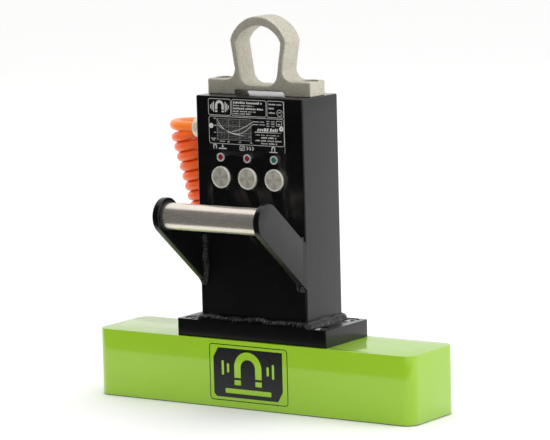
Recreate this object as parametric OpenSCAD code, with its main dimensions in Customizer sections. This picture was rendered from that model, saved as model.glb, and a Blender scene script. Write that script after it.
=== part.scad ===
// Electro-permanent lifting magnet with a hand bar, a lifting eye and push-button control.
// Millimetres. +Z is up, the working (pole) face is at z = 0, and the control side faces -Y.

/* [Magnet body] */
// Length of the magnet body
body_l = 356; // [330:2:380]
// Depth of the magnet body, front to back
body_d = 78; // [76:1:84]
// Height of the magnet body
body_h = 64.5; // [62:0.5:68]
// Radius of the four upright corners
body_r = 12; // [8:1:16]

/* [Base plate] */
// Length of the base plate
plate_l = 168; // [164:1:176]
// Depth of the base plate
plate_d = 72; // [72:1:76]
// Thickness of the base plate
plate_t = 16.5; // [15:0.5:20]

/* [Column] */
// Width of the rectangular steel tube
col_w = 120; // [118:1:124]
// Depth of the rectangular steel tube
col_d = 60; // [60:0.5:61]
// Height from the base plate to the column's flat top
col_h = 213; // [211:1:220]
// Wall of the tube
col_wall = 5; // [4.5:0.5:5.5]
// Outer corner radius of the tube
col_r = 2; // [1.5:0.5:3]
// Thickness of the welded top plate
cap_t = 14; // [13:0.5:14]

/* [Lifting eye] */
// Length of the eye's foot
eye_l = 116; // [112:1:117]
// Thickness of the eye, front to back
eye_d = 25.5; // [24:0.5:28]
// Height of the foot
eye_foot_h = 14.5; // [14:0.5:16]
// Half the distance between the two eye screws
eye_screw_x = 49; // [47:0.5:49]

/* [Controls] */
// Middle of the control panel, measured from the column's centre
ctrl_x = -2.5; // [-3:0.5:0]
// Distance between push buttons
btn_pitch = 30; // [29:0.5:31]
// Height of the push buttons above the base plate
btn_h = 136.7; // [134:0.1:138]
// Outer diameter of a button's bezel
btn_d = 20.8; // [20.4:0.1:22]
// Travel of a push button
btn_travel = 1.5; // [1:0.1:1.5]
// Height of the lamps above the buttons
lamp_up = 18.9; // [18:0.1:20]

/* [Hand bar] */
// Diameter of the bar
bar_d = 25; // [24:0.5:26]
// Centre of the bar in front of the column's centre
bar_out = 88.5; // [84:0.5:92]
// Height of the bar above the base plate
bar_h = 106.5; // [104:0.5:110]
// Thickness of the two bracket plates
arm_t = 6.5; // [5:0.5:8]
// Radius of a bracket's round end
arm_r = 17; // [16.5:0.5:18]
// Slope of the brackets in degrees
arm_slope = 39.5; // [37:0.5:42]

/* [Lead] */
// Diameter of the lead
cord_d = 9.7; // [9:0.1:10]
// Outer radius of the curly stretch
curl_r = 25; // [24:0.5:25]

/* [Hidden] */
$fn = 64;

z_body = body_h;
z_plate = z_body + plate_t;
z_top = z_plate + col_h;
z_cap = z_top - cap_t;
front = -col_d/2;

// Magnet internals
wall_side = 12;
pocket_l = body_l - 28;
pocket_d = body_d - 2*wall_side;
pocket_h = 46;
shoe_l = pocket_l - 12;
shoe_d = 30;
shoe_h = 20;
core_d = 26;
pole_screw_x = [-120, -40, 40, 120];

// Base screws, M10 socket heads sunk in the plate
screw_x = 71;
screw_y = 26;
weld_leg = 5.6;

btn_z = z_plate + btn_h;
lamp_z = btn_z + lamp_up;
btn_x = [ctrl_x - btn_pitch, ctrl_x, ctrl_x + btn_pitch];

tag_w = 86;
tag_h = 49;
tag_t = 0.8;
tag_z = z_top - 26.5;
tag_rivet = 39.5;

bar_y = -bar_out;
bar_z = z_plate + bar_h;

gland_z = z_top - 34.2;
gland_end = -col_w/2 - 20.4;
arm_in = col_w/2 - 0.5 - arm_t; // inner faces of the two bracket plates
collar_t = 2;

// ---------- shared shapes ----------
module rrect(l, d, r) {
    square([l - 2*r, d], center = true);
    square([l, d - 2*r], center = true);
    for (x = [-1, 1], y = [-1, 1]) translate([x*(l/2 - r), y*(d/2 - r)]) circle(r = r);
}
// cylinder along Y from y0 to y1
module cyl_y(x, z, d, y0, y1) { translate([x, y0, z]) rotate([-90, 0, 0]) cylinder(d = d, h = y1 - y0); }
// cylinder along X from x0 to x1
module cyl_x(y, z, d, x0, x1) { translate([x0, y, z]) rotate([0, 90, 0]) cylinder(d = d, h = x1 - x0); }
// socket head screw, head resting at the origin, shank downwards
module socket_screw(d, head_d, head_h, len, key, key_deep) {
    difference() {
        union() {
            cylinder(d = head_d, h = head_h);
            translate([0, 0, -len]) cylinder(d = d, h = len + 0.01);
        }
        translate([0, 0, head_h - key_deep]) cylinder(d = key/cos(30), h = key_deep + 1, $fn = 6);
    }
}

// ---------- tubes swept along a list of points ----------
function unit(v) = v/norm(v);
function tangent(p, i) = unit(p[min(i + 1, len(p) - 1)] - p[max(i - 1, 0)]);
// first side vector of a ring: level where the route allows it
function side_of(t) = abs(t[2]) > 0.95 ? unit(cross([0, 1, 0], t)) : unit(cross([0, 0, 1], t));
function swept_side(p, i) = i == 0 ? side_of(tangent(p, 0)) :
    let (s = swept_side(p, i - 1), t = tangent(p, i)) unit(s - t*(s*t));
module sweep(p, r, sides) {
    n = len(p);
    pts = [for (i = [0:n - 1]) let (t = tangent(p, i), u = swept_side(p, i), v = cross(t, u))
           for (k = [0:sides - 1]) let (a = 360*k/sides) p[i] + r*(cos(a)*u + sin(a)*v)];
    faces = concat([[for (k = [sides - 1:-1:0]) k]],
                   [for (i = [0:n - 2], k = [0:sides - 1]) let (a = i*sides + k, b = i*sides + (k + 1)%sides)
                    [a, b, b + sides, a + sides]],
                   [[for (k = [0:sides - 1]) (n - 1)*sides + k]]);
    polyhedron(points = pts, faces = [for (f = faces) [for (j = [len(f) - 1:-1:0]) f[j]]], convexity = 6);
}

// ---------- magnet ----------
module magnet_housing() {
    color([0.59, 0.78, 0.16]) difference() {
        linear_extrude(body_h) rrect(body_l, body_d, body_r);
        translate([0, 0, -1]) linear_extrude(pocket_h + 1) rrect(pocket_l, pocket_d, 8);
        for (x = [-1, 1], y = [-1, 1]) translate([x*screw_x, y*screw_y, body_h - 15]) cylinder(d = 10, h = 16);
        for (x = pole_screw_x) translate([x, 0, pocket_h - 1]) cylinder(d = 8, h = 13);
        translate([-20, 0, pocket_h - 1]) cylinder(d = 12, h = body_h);
    }
}
module pole_shoe() {
    color([0.55, 0.56, 0.58]) difference() {
        linear_extrude(shoe_h) rrect(shoe_l, shoe_d, 4);
        for (x = pole_screw_x) translate([x, 0, -1]) {
            cylinder(d = 14.5, h = 10);
            cylinder(d = 8.6, h = shoe_h + 2);
        }
    }
}
module side_magnets() {
    color([0.75, 0.75, 0.78]) for (s = [-1, 1], i = [-3:2])
        translate([i*50 + 1, s > 0 ? shoe_d/2 : -pocket_d/2, 4]) cube([48, (pocket_d - shoe_d)/2, 15]);
}
module alnico_cores() {
    // blocks stand between the pole screws
    color([0.42, 0.42, 0.44]) for (b = [[-152, -128], [-112, -48], [-32, 32], [48, 112], [128, 152]])
        translate([b[0], -core_d/2, shoe_h]) difference() {
            cube([b[1] - b[0], core_d, pocket_h - shoe_h]);
            // room for the winding's leads
            if (b[0] == -32) translate([12, core_d/2, 12]) cylinder(d = 12, h = 30);
        }
}
module magnet_coil() {
    color([0.72, 0.40, 0.18]) translate([0, 0, shoe_h + 1]) difference() {
        linear_extrude(pocket_h - shoe_h - 2) rrect(310 + 15, core_d + 1.4 + 15, 9);
        translate([0, 0, -1]) linear_extrude(pocket_h) rrect(310, core_d + 1.4, 1.6);
    }
}
module face_seal() {
    color([0.66, 0.52, 0.24]) translate([0, 0, 0.4]) difference() {
        linear_extrude(3.4) rrect(pocket_l, pocket_d, 8);
        translate([0, 0, -1]) linear_extrude(6) rrect(shoe_l, shoe_d, 4);
    }
}
module pole_screws() {
    color([0.6, 0.6, 0.62]) for (x = pole_screw_x) translate([x, 0, 9]) mirror([0, 0, 1])
        socket_screw(8, 13, 8, 45, 6, 4);
}

// ---------- base ----------
module base_plate() {
    color([0.06, 0.06, 0.065]) translate([0, 0, z_body]) difference() {
        linear_extrude(plate_t) rrect(plate_l, plate_d, 1.2);
        translate([0, 0, -1]) linear_extrude(plate_t + 2) rrect(96, 38, 6);
        for (x = [-1, 1], y = [-1, 1]) translate([x*screw_x, y*screw_y, 0]) {
            translate([0, 0, -1]) cylinder(d = 11, h = plate_t + 2);
            translate([0, 0, plate_t - 10.6]) cylinder(d = 17.5, h = 12);
        }
        translate([0, 0, -1]) linear_extrude(2.5) difference() { rrect(116, 54, 8); rrect(108, 46, 6); }
    }
}
module base_gasket() {
    color([0.1, 0.1, 0.1]) translate([0, 0, z_body]) linear_extrude(1.5) difference() { rrect(116, 54, 8); rrect(108, 46, 6); }
}
module base_screws() {
    color([0.55, 0.55, 0.56]) for (x = [-1, 1], y = [-1, 1]) translate([x*screw_x, y*screw_y, z_plate - 10.6])
        socket_screw(10, 16, 9.8, 19, 8, 5);
}
module base_weld() {
    w = col_w/2;
    d = col_d/2;
    color([0.09, 0.09, 0.1]) translate([0, 0, z_plate]) {
        for (s = [0, 180]) rotate([0, 0, s]) {
            translate([-(w - col_r), -d, 0]) rotate([90, 0, 90]) linear_extrude(2*(w - col_r)) polygon([[0, 0], [0, weld_leg], [-weld_leg, 0]]);
            translate([w, -(d - col_r), 0]) rotate([90, 0, 180]) linear_extrude(2*(d - col_r)) polygon([[0, 0], [0, weld_leg], [-weld_leg, 0]]);
        }
        for (c = [[1, 1, 0], [-1, 1, 90], [-1, -1, 180], [1, -1, 270]])
            translate([c[0]*(w - col_r), c[1]*(d - col_r), 0]) rotate([0, 0, c[2]])
                rotate_extrude(angle = 90) polygon([[col_r, 0], [col_r + weld_leg, 0], [col_r, weld_leg]]);
    }
}

// ---------- column ----------
module column_tube() {
    color([0.06, 0.06, 0.065]) difference() {
        translate([0, 0, z_plate]) linear_extrude(z_cap - z_plate) difference() {
            rrect(col_w, col_d, col_r);
            square([col_w - 2*col_wall, col_d - 2*col_wall], center = true);
        }
        for (x = btn_x) {
            cyl_y(x, btn_z, 19, front - 1, front + col_wall + 1);
            cyl_y(x, lamp_z, 7, front - 1, front + col_wall + 1);
        }
        for (s = [-1, 1]) cyl_y(ctrl_x + s*tag_rivet, tag_z - 1.5, 3.2, front - 1, front + col_wall + 1);
        cyl_x(0, gland_z, 16, -col_w/2 - 1, -col_w/2 + col_wall + 1);
    }
}
module column_cap() {
    color([0.06, 0.06, 0.065]) translate([0, 0, z_cap]) difference() {
        linear_extrude(cap_t) rrect(col_w, col_d, col_r);
        for (s = [-1, 1]) translate([s*eye_screw_x, 0, -1]) cylinder(d = 10, h = cap_t + 2);
    }
}

// ---------- lifting eye ----------
// heights above the foot's underside
arch_r = 33.2;      // outer arch
arch_c = 40.8;
arch_z = 51;        // where arch and legs meet
arch_x = sqrt(arch_r*arch_r - (arch_z - arch_c)*(arch_z - arch_c));
leg_x = 27;         // half width at the narrowest place
leg_z = 24.5;
leg_k = (arch_x - leg_x)/(arch_z - leg_z);
leg_n = unit([1, -leg_k]);
fil_r = 10;
fil_z = eye_foot_h + fil_r;
fil_x = leg_x + leg_k*(fil_z - leg_z) + fil_r/leg_n[0];
win_r = 27.9;       // window arch
win_c = 37.2;
win_z = 49.6;
win_x = sqrt(win_r*win_r - (win_z - win_c)*(win_z - win_c));
win_k = 0.158;
win_n = unit([1, -win_k]);
win_b = 9.5;        // window's lower edge
cor_r = 11.5;
cor_x = win_x - win_k*(win_z - win_b - cor_r) - cor_r/win_n[0];
slot_l = 56;
slot_h = 4;

// extrusion through the eye's thickness; the outline's second coordinate is height
module eye_slab(t) { translate([0, t/2, 0]) rotate([90, 0, 0]) linear_extrude(t) children(); }
function arc(c, r, a0, a1, n) = [for (i = [0:n]) let (a = a0 + (a1 - a0)*i/n) c + r*[cos(a), sin(a)]];
function flip(p) = [for (i = [len(p)-1:-1:0]) [-p[i][0], p[i][1]]];
leg_a = atan2(leg_n[1], leg_n[0]);
win_a = atan2(win_n[1], win_n[0]);
arch_a = atan2(arch_z - arch_c, arch_x);
win_b_a = atan2(win_z - win_c, win_x);
// right half of the outline from the relief under the foot up to the crown
eye_right = concat(arc([slot_l/2 - 2.5, slot_h - 2.5], 2.5, 90, 0, 6), [[slot_l/2, 0], [eye_l/2, 0], [eye_l/2, eye_foot_h]],
                   arc([fil_x, fil_z], fil_r, 270, 180 + leg_a, 12), arc([0, arch_c], arch_r, arch_a, 88, 24));
win_right = concat(arc([cor_x, win_b + cor_r], cor_r, -90, win_a, 14), arc([0, win_c], win_r, win_b_a, 88, 24));
module lifting_eye() {
    color([0.66, 0.64, 0.59]) translate([0, 0, z_top]) difference() {
        eye_slab(eye_d) polygon(concat(eye_right, flip(eye_right)));
        eye_slab(eye_d + 2) polygon(concat(win_right, flip(win_right)));
        // sunk screw holes
        for (s = [-1, 1]) translate([s*eye_screw_x, 0, 0]) {
            translate([0, 0, -1]) cylinder(d = 10.5, h = 30);
            translate([0, 0, eye_foot_h - 8]) cylinder(d = 17, h = 12);
        }
    }
}
module eye_screws() {
    color([0.12, 0.12, 0.13]) for (s = [-1, 1]) translate([s*eye_screw_x, 0, z_top + eye_foot_h - 8])
        socket_screw(10, 16, 7, 19, 7, 4);
}

// ---------- hand bar ----------
arm_dir = [cos(arm_slope), -sin(arm_slope)];
arm_up = [sin(arm_slope), cos(arm_slope)];
arm_c = [bar_y, bar_z];
function arm_hit(s, y) = let (p = arm_c + s*arm_r*arm_up) p + arm_dir*(y - p[0])/arm_dir[0];
arm_hi = arm_hit(1, front);
arm_lo = arm_hit(-1, front);

module bracket(x0) {
    color([0.06, 0.06, 0.065]) difference() {
        // one outline: the round end, then the two straight edges up to the column
        translate([x0, 0, 0]) rotate([90, 0, 90]) linear_extrude(arm_t)
            polygon(concat([for (i = [0:36]) let (a = 90 - arm_slope + 5*i) arm_c + arm_r*[cos(a), sin(a)]],
                           [arm_hit(-1, front + col_r), arm_hit(1, front + col_r)]));
        translate([0, 0, z_plate]) linear_extrude(col_h - cap_t) rrect(col_w, col_d, col_r);
    }
}
module handle_bracket_left() { bracket(-arm_in - arm_t); }
module handle_bracket_right() { bracket(arm_in); }
module bracket_welds() {
    leg = 4.6;
    in = arm_in;
    color([0.09, 0.09, 0.1]) for (s = [0, 1]) mirror([s, 0, 0]) {
        // upright fillet in the inner corner
        translate([in, front, arm_lo[1] + 1]) rotate([0, 0, 0]) linear_extrude(arm_hi[1] - arm_lo[1] - 2) polygon([[0, 0], [0, -leg], [-leg, 0]]);
        // bead over the upper edge and under the lower edge
        translate([in + 0.5, 0, 0]) rotate([90, 0, 90]) linear_extrude(arm_t - 1.5 - col_r + 1)
            polygon([[front, arm_hi[1]], [front, arm_hi[1] + 6], arm_hit(1, front - 5)]);
        translate([in + 0.5, 0, 0]) rotate([90, 0, 90]) linear_extrude(arm_t - 1.5 - col_r + 1)
            polygon([[front, arm_lo[1]], arm_hit(-1, front - 3), [front, arm_lo[1] - 5]]);
    }
}
module handle_bar() {
    e = arm_in - collar_t;
    color([0.78, 0.76, 0.72]) difference() {
        cyl_x(bar_y, bar_z, bar_d, -e, e);
        cyl_x(bar_y, bar_z, bar_d - 5, -e - 1, e + 1);
    }
}
module handle_collars() {
    e = arm_in;
    color([0.05, 0.05, 0.05]) for (s = [0, 1]) mirror([s, 0, 0]) {
        cyl_x(bar_y, bar_z, bar_d + 3, e - collar_t, e);
        cyl_x(bar_y, bar_z, bar_d - 5, e - 18, e - collar_t + 0.1);
    }
}

// ---------- control panel ----------
module nameplate() {
    color([0.04, 0.04, 0.045]) difference() {
        translate([ctrl_x, front, tag_z]) rotate([90, 0, 0]) linear_extrude(tag_t) rrect(tag_w, tag_h, 1);
        for (s = [-1, 1]) cyl_y(ctrl_x + s*tag_rivet, tag_z - 1.5, 3.2, front - 2, front + 1);
    }
}
module nameplate_rivets() {
    color([0.85, 0.85, 0.85]) for (s = [-1, 1]) difference() {
        union() {
            cyl_y(ctrl_x + s*tag_rivet, tag_z - 1.5, 3.2, front - tag_t, front + col_wall + 1);
            cyl_y(ctrl_x + s*tag_rivet, tag_z - 1.5, 4.6, front - tag_t - 0.7, front - tag_t);
        }
        cyl_y(ctrl_x + s*tag_rivet, tag_z - 1.5, 1.8, front - 4, front + 2);
    }
}
// moving part of a push button: flat face and stem
module button(x) {
    color([0.72, 0.72, 0.69]) {
        cyl_y(x, btn_z, 16.4, front - 2.4, front - 1);
        cyl_y(x, btn_z, 10, front - 1.01, front + 11);
    }
}
module button_release() { button(btn_x[0]); }
module button_enable() { button(btn_x[1]); }
module button_hold() { button(btn_x[2]); }
module button_barrels() {
    color([0.76, 0.76, 0.73]) for (x = btn_x) difference() {
        union() {
            cyl_y(x, btn_z, btn_d, front - 2.6, front);
            cyl_y(x, btn_z, 19, front - 0.01, front + 24);
        }
        cyl_y(x, btn_z, 16.8, front - 4, front + 1);
        cyl_y(x, btn_z, 10.1, front - 4, front + 21);
    }
}
module button_nuts() {
    color([0.6, 0.6, 0.6]) for (x = btn_x) difference() {
        translate([x, front + col_wall, btn_z]) rotate([-90, 0, 0]) cylinder(d = 24/cos(30), h = 3, $fn = 6);
        cyl_y(x, btn_z, 19, front, front + 12);
    }
}
// return spring drawn as separate coils standing between stem and barrel floor
module spring(x) {
    color([0.6, 0.6, 0.62]) difference() {
        union() {
            for (i = [0:4]) cyl_y(x, btn_z, 8.6, front + 11 + i*2.3, front + 11 + i*2.3 + 0.8);
            cyl_y(x, btn_z, 7.4, front + 11, front + 21);
        }
        cyl_y(x, btn_z, 6.8, front + 10, front + 22);
    }
}
module spring_release() { spring(btn_x[0]); }
module spring_enable() { spring(btn_x[1]); }
module spring_hold() { spring(btn_x[2]); }
module button_switches() {
    color([0.12, 0.12, 0.13]) for (x = btn_x) {
        translate([x - 8, front + 24, btn_z - 8]) cube([16, 8, 16]);
        for (s = [-1, 1]) translate([x + s*4 - 1.4, front + 32, btn_z - 0.4]) cube([2.8, 5, 0.8]);
    }
}
module lamp_bezels() {
    color([0.85, 0.85, 0.86]) for (x = btn_x) difference() {
        union() {
            cyl_y(x, lamp_z, 8.2, front - 1.4, front);
            cyl_y(x, lamp_z, 7, front - 0.01, front + 8);
        }
        cyl_y(x, lamp_z, 5.6, front - 3, front + 9);
        // two spanner notches
        translate([x - 6, front - 3, lamp_z - 0.6]) cube([12, 2.4, 1.2]);
    }
}
module lamp_lens(x) {
    cyl_y(x, lamp_z, 5.6, front - 0.9, front + 6);
    translate([x, front - 0.9, lamp_z]) rotate([90, 0, 0]) difference() {
        translate([0, 0, -5.07]) sphere(r = 5.8);
        translate([-8, -8, -16]) cube([16, 16, 16]);
    }
}
module lamp_lenses_red() { color([0.45, 0.05, 0.07]) { lamp_lens(btn_x[0]); lamp_lens(btn_x[1]); } }
module lamp_lens_green() { color([0.05, 0.32, 0.25]) lamp_lens(btn_x[2]); }

// ---------- cable gland on the left face ----------
module gland_body() {
    f = -col_w/2;
    color([0.80, 0.80, 0.78]) difference() {
        union() {
            cyl_x(0, gland_z, 16, f, f + 14);
            translate([f - 5, 0, gland_z]) rotate([0, 90, 0]) cylinder(d = 20, h = 5);
            cyl_x(0, gland_z, 15, f - 16, f - 4.9);
        }
        cyl_x(0, gland_z, 12.4, f - 17, f + 15);
    }
}
module gland_nut() {
    f = -col_w/2;
    // turned cap with a rounded nose
    color([0.82, 0.82, 0.80]) translate([gland_end, 0, gland_z]) rotate([0, 90, 0]) rotate_extrude($fn = 64)
        difference() {
            union() {
                translate([5.4, 0]) square([2.6, 15]);
                translate([5.4, 2]) square([4.6, 13]);
                translate([8, 2]) circle(r = 2, $fn = 32);
            }
            translate([0, 4.2]) square([7.5, 20]);
        }
}
module gland_seal() {
    f = -col_w/2;
    color([0.08, 0.08, 0.08]) difference() {
        cyl_x(0, gland_z, 12.4, gland_end + 4.4, f + 4);
        cyl_x(0, gland_z, cord_d + 0.2, gland_end, f + 6);
    }
}
module gland_locknut() {
    f = -col_w/2 + col_wall;
    color([0.80, 0.80, 0.78]) difference() {
        translate([f, 0, gland_z]) rotate([0, 90, 0]) cylinder(d = 20/cos(30), h = 3, $fn = 6);
        cyl_x(0, gland_z, 16, f - 1, f + 5);
    }
}

// ---------- supply lead ----------
// The lead leaves the gland, makes its first turn in the open, and goes on as a curly stretch that
// leans back past the column, turns onto the floor behind the body and ends in a short tail and plug.
turn_r = curl_r - cord_d/2;
turn_drop = 8.2;
turn_back = 3;
coil_x = -96;
start_route = concat([[-54, 0, gland_z], [-70, 0, gland_z], [-81, 0, gland_z], [-86, 0, gland_z], [-91.8, 0, gland_z]],
    [for (a = [15:15:250]) [coil_x - turn_r*sin(a), turn_r*(1 - cos(a)) + a*turn_back/360,
                            gland_z - turn_drop*pow(a/360, 2)]]);
// middle of the curly stretch; the first rings lie level, the rest stand square to the route
coil_route = [[-96.2, 23.2, 251.5], [-95.1, 25.2, 243], [-93.9, 28.8, 228], [-92.9, 33, 213], [-91.9, 37, 200], [-90.9, 42, 184],
              [-89.8, 49, 164], [-88.4, 57, 143], [-86, 64.8, 120], [-80.5, 71, 100], [-70.5, 75, 77], [-56, 76, 53], [-38, 76, 36],
              [-22, 76, 28], [-8, 76, 25.3], [-3, 76, 25.1]];
tail_route = [[-7, 72, 4.9], [-5, 81, 4.9], [-2, 92, 4.9], [3, 102, 4.9], [12, 111, 4.9], [22, 116, 4.9], [32, 118, 5.4], [40, 118, 6.8], [65.2, 118, 12.8]];

module lead_start() { color([0.90, 0.33, 0.15]) sweep(start_route, cord_d/2, 10); }
module lead_coil() {
    p = coil_route;
    n = len(p);
    sides = 28;
    // ring planes: level at the top, square to the route from the fifth ring on
    nrm = [for (i = [0:n - 1]) unit(tangent(p, i)*min(1, i/6) + [0, 0, -1]*(1 - min(1, i/6)))];
    pts = [for (i = [0:n - 1]) let (u = [0, 1, 0] - nrm[i]*(nrm[i][1]), uu = unit(u), v = cross(nrm[i], uu))
           for (k = [0:sides - 1]) let (a = 360*k/sides) p[i] + curl_r*(cos(a)*uu + sin(a)*v)];
    faces = concat([[for (k = [0:sides - 1]) k]],
                   [for (i = [0:n - 2], k = [0:sides - 1]) let (a = i*sides + k, b = i*sides + (k + 1)%sides)
                    [a, a + sides, b + sides, b]],
                   [[for (k = [sides - 1:-1:0]) (n - 1)*sides + k]]);
    color([0.90, 0.33, 0.15]) polyhedron(points = pts, faces = faces, convexity = 6);
}
module lead_tail() { color([0.90, 0.33, 0.15]) sweep(tail_route, cord_d/2, 10); }

// plug lying behind the body: its wide face rests on the floor
plug_at = [38, 118, 6.3];
plug_tilt = 13.5;
module plug_place() { translate(plug_at) rotate([0, -plug_tilt, 0]) rotate([0, 90, 0]) children(); }
module plug_sleeve() {
    color([0.07, 0.07, 0.07]) plug_place() rotate_extrude() polygon([[cord_d/2 + 0.05, 1], [6.1, 1], [8.2, 28], [cord_d/2 + 0.05, 28]]);
}
module plug_body() {
    color([0.07, 0.07, 0.07]) plug_place() difference() {
        rotate_extrude() polygon([[0, 28], [11, 28], [12.5, 32], [13.5, 44], [18.2, 50], [18.2, 60], [17.4, 61], [0, 61]]);
        for (s = [-1, 1]) translate([0, s*9.5, 52]) cylinder(d = 4.8, h = 12);
    }
}
module plug_pins() {
    color([0.78, 0.78, 0.76]) plug_place() for (s = [-1, 1]) translate([0, s*9.5, 52]) {
        cylinder(d = 4.8, h = 26);
        translate([0, 0, 26]) cylinder(d1 = 4.8, d2 = 2.8, h = 1.6);
    }
}

// ---------- electronics inside the column ----------
board_w = 84;
board_z0 = z_plate + 11;
board_h = 108;
board_y = 13;
module control_board() {
    color([0.05, 0.30, 0.16]) difference() {
        translate([-board_w/2, board_y, board_z0]) cube([board_w, 1.6, board_h]);
        for (x = [-1, 1], z = [5, board_h - 5]) cyl_y(x*37, board_z0 + z, 3.4, board_y - 1, board_y + 3);
    }
}
module board_standoffs() {
    color([0.75, 0.62, 0.30]) for (x = [-1, 1], z = [5, board_h - 5]) difference() {
        cyl_y(x*37, board_z0 + z, 6.5, board_y + 1.6, col_d/2 - col_wall);
        cyl_y(x*37, board_z0 + z, 3, board_y, board_y + 9);
    }
}
module board_screws() {
    color([0.7, 0.7, 0.7]) for (x = [-1, 1], z = [5, board_h - 5]) {
        cyl_y(x*37, board_z0 + z, 5.6, board_y - 2, board_y);
        cyl_y(x*37, board_z0 + z, 3, board_y - 0.01, board_y + 7);
    }
}
module capacitors() {
    color([0.10, 0.14, 0.35]) for (x = [-22, 4]) cyl_y(x, board_z0 + 17, 22, board_y - 28, board_y);
}
module power_module() {
    color([0.1, 0.1, 0.1]) translate([20, board_y - 12, board_z0 + 44]) cube([18, 12, 26]);
}
module heat_sink() {
    color([0.7, 0.71, 0.73]) translate([18, board_y - 15, board_z0 + 40]) {
        cube([22, 3, 34]);
        for (i = [0:4]) translate([i*5, -12, 0]) cube([2, 12.01, 34]);
    }
}
module terminal_block() {
    color([0.15, 0.45, 0.25]) translate([-34, board_y - 11, board_z0 + 78]) difference() {
        cube([42, 11, 13]);
        for (i = [0:4]) translate([5 + i*8, -1, 6.5]) rotate([-90, 0, 0]) cylinder(d = 4, h = 7);
    }
}
module inner_wires() {
    z0 = board_z0;
    // two coil leads up through the body's roof, and the supply core from the gland
    color([0.45, 0.10, 0.08]) {
        sweep([[-22.5, -2, pocket_h - 4], [-22.5, -2, body_h + 4], [-26, -5, z_plate + 3], [-37.5, -3, z0 + 12], [-37.5, 0, z0 + 34], [-34, 4, z0 + 60], [-29, 7, z0 + 72], [-29, 7, z0 + 78]], 1.6, 8);
        sweep([[-17.5, 2, pocket_h - 4], [-17.5, 2, body_h + 4], [-9, 2, z_plate + 3], [-9, 3, z0 + 3], [-9, 4, z0 + 34], [-14, 6, z0 + 60], [-21, 7, z0 + 72], [-21, 7, z0 + 78]], 1.6, 8);
    }
}

magnet_housing();
pole_shoe();
side_magnets();
alnico_cores();
magnet_coil();
face_seal();
pole_screws();
base_plate();
base_gasket();
base_screws();
base_weld();
column_tube();
column_cap();
lifting_eye();
eye_screws();
handle_bracket_left();
handle_bracket_right();
bracket_welds();
handle_bar();
handle_collars();
nameplate();
nameplate_rivets();
button_release();
button_enable();
button_hold();
button_barrels();
button_nuts();
spring_release();
spring_enable();
spring_hold();
button_switches();
lamp_bezels();
lamp_lenses_red();
lamp_lens_green();
gland_body();
gland_nut();
gland_seal();
gland_locknut();
lead_start();
lead_coil();
lead_tail();
plug_sleeve();
plug_body();
plug_pins();
control_board();
board_standoffs();
board_screws();
capacitors();
power_module();
heat_sink();
terminal_block();
inner_wires();
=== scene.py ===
# Looks of the lifting magnet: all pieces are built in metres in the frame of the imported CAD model.
import math
import random

import bmesh
import bpy
from mathutils import Matrix, Vector, noise


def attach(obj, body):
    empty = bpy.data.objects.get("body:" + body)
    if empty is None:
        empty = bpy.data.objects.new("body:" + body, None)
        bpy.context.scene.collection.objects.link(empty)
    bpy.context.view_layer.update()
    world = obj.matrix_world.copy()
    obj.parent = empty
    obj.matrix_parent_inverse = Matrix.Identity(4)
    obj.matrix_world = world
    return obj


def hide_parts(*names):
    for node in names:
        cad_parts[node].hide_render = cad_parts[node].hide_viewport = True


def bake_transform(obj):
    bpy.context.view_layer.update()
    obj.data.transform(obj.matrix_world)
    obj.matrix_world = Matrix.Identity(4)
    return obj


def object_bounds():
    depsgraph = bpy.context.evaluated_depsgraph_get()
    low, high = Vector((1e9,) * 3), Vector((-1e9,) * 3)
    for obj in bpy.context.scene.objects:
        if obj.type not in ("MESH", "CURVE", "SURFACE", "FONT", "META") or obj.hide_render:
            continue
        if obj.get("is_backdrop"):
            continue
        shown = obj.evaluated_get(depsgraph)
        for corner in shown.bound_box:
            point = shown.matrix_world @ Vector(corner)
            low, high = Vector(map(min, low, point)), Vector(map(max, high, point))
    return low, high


MM = 0.001
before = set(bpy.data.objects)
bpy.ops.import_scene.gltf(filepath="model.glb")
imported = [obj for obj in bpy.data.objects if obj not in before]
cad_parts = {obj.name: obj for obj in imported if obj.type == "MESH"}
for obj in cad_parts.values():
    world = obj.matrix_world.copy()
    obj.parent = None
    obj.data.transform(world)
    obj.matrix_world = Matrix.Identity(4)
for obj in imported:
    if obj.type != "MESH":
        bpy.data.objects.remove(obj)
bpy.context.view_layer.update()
ROOT = "magnet"


# ------------------------------------------------------------------ camera
def look(az, el, roll, dist, target):
    a, e, r = math.radians(az), math.radians(el), math.radians(roll)
    back = Vector((math.sin(a) * math.cos(e), -math.cos(a) * math.cos(e), math.sin(e)))
    fwd = -back
    right = fwd.cross(Vector((0, 0, 1))).normalized()
    up = right.cross(fwd)
    r2 = right * math.cos(r) + up * math.sin(r)
    u2 = up * math.cos(r) - right * math.sin(r)
    m = Matrix((r2, u2, back)).transposed().to_4x4()
    m.translation = target + back * dist
    return m


cam_data = bpy.data.cameras.new("camera")
cam_data.sensor_width = 36.0
cam_data.lens = 3372.221 / 550.0 * 36.0
cam_data.clip_start, cam_data.clip_end = 0.1, 60
cam = bpy.data.objects.new("camera", cam_data)
bpy.context.scene.collection.objects.link(cam)
cam.matrix_world = look(34.0878, 8.0676, -1.4512, 3.1695947, Vector((0.0063052, 0, 0.1753375)))
bpy.context.scene.camera = cam
bpy.context.scene.view_settings.view_transform = "Standard"


# ------------------------------------------------------------------ materials
def lin(c):
    out = []
    for v in c:
        v /= 255.0
        out.append(v / 12.92 if v <= 0.04045 else ((v + 0.055) / 1.055) ** 2.4)
    return tuple(out)


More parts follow.
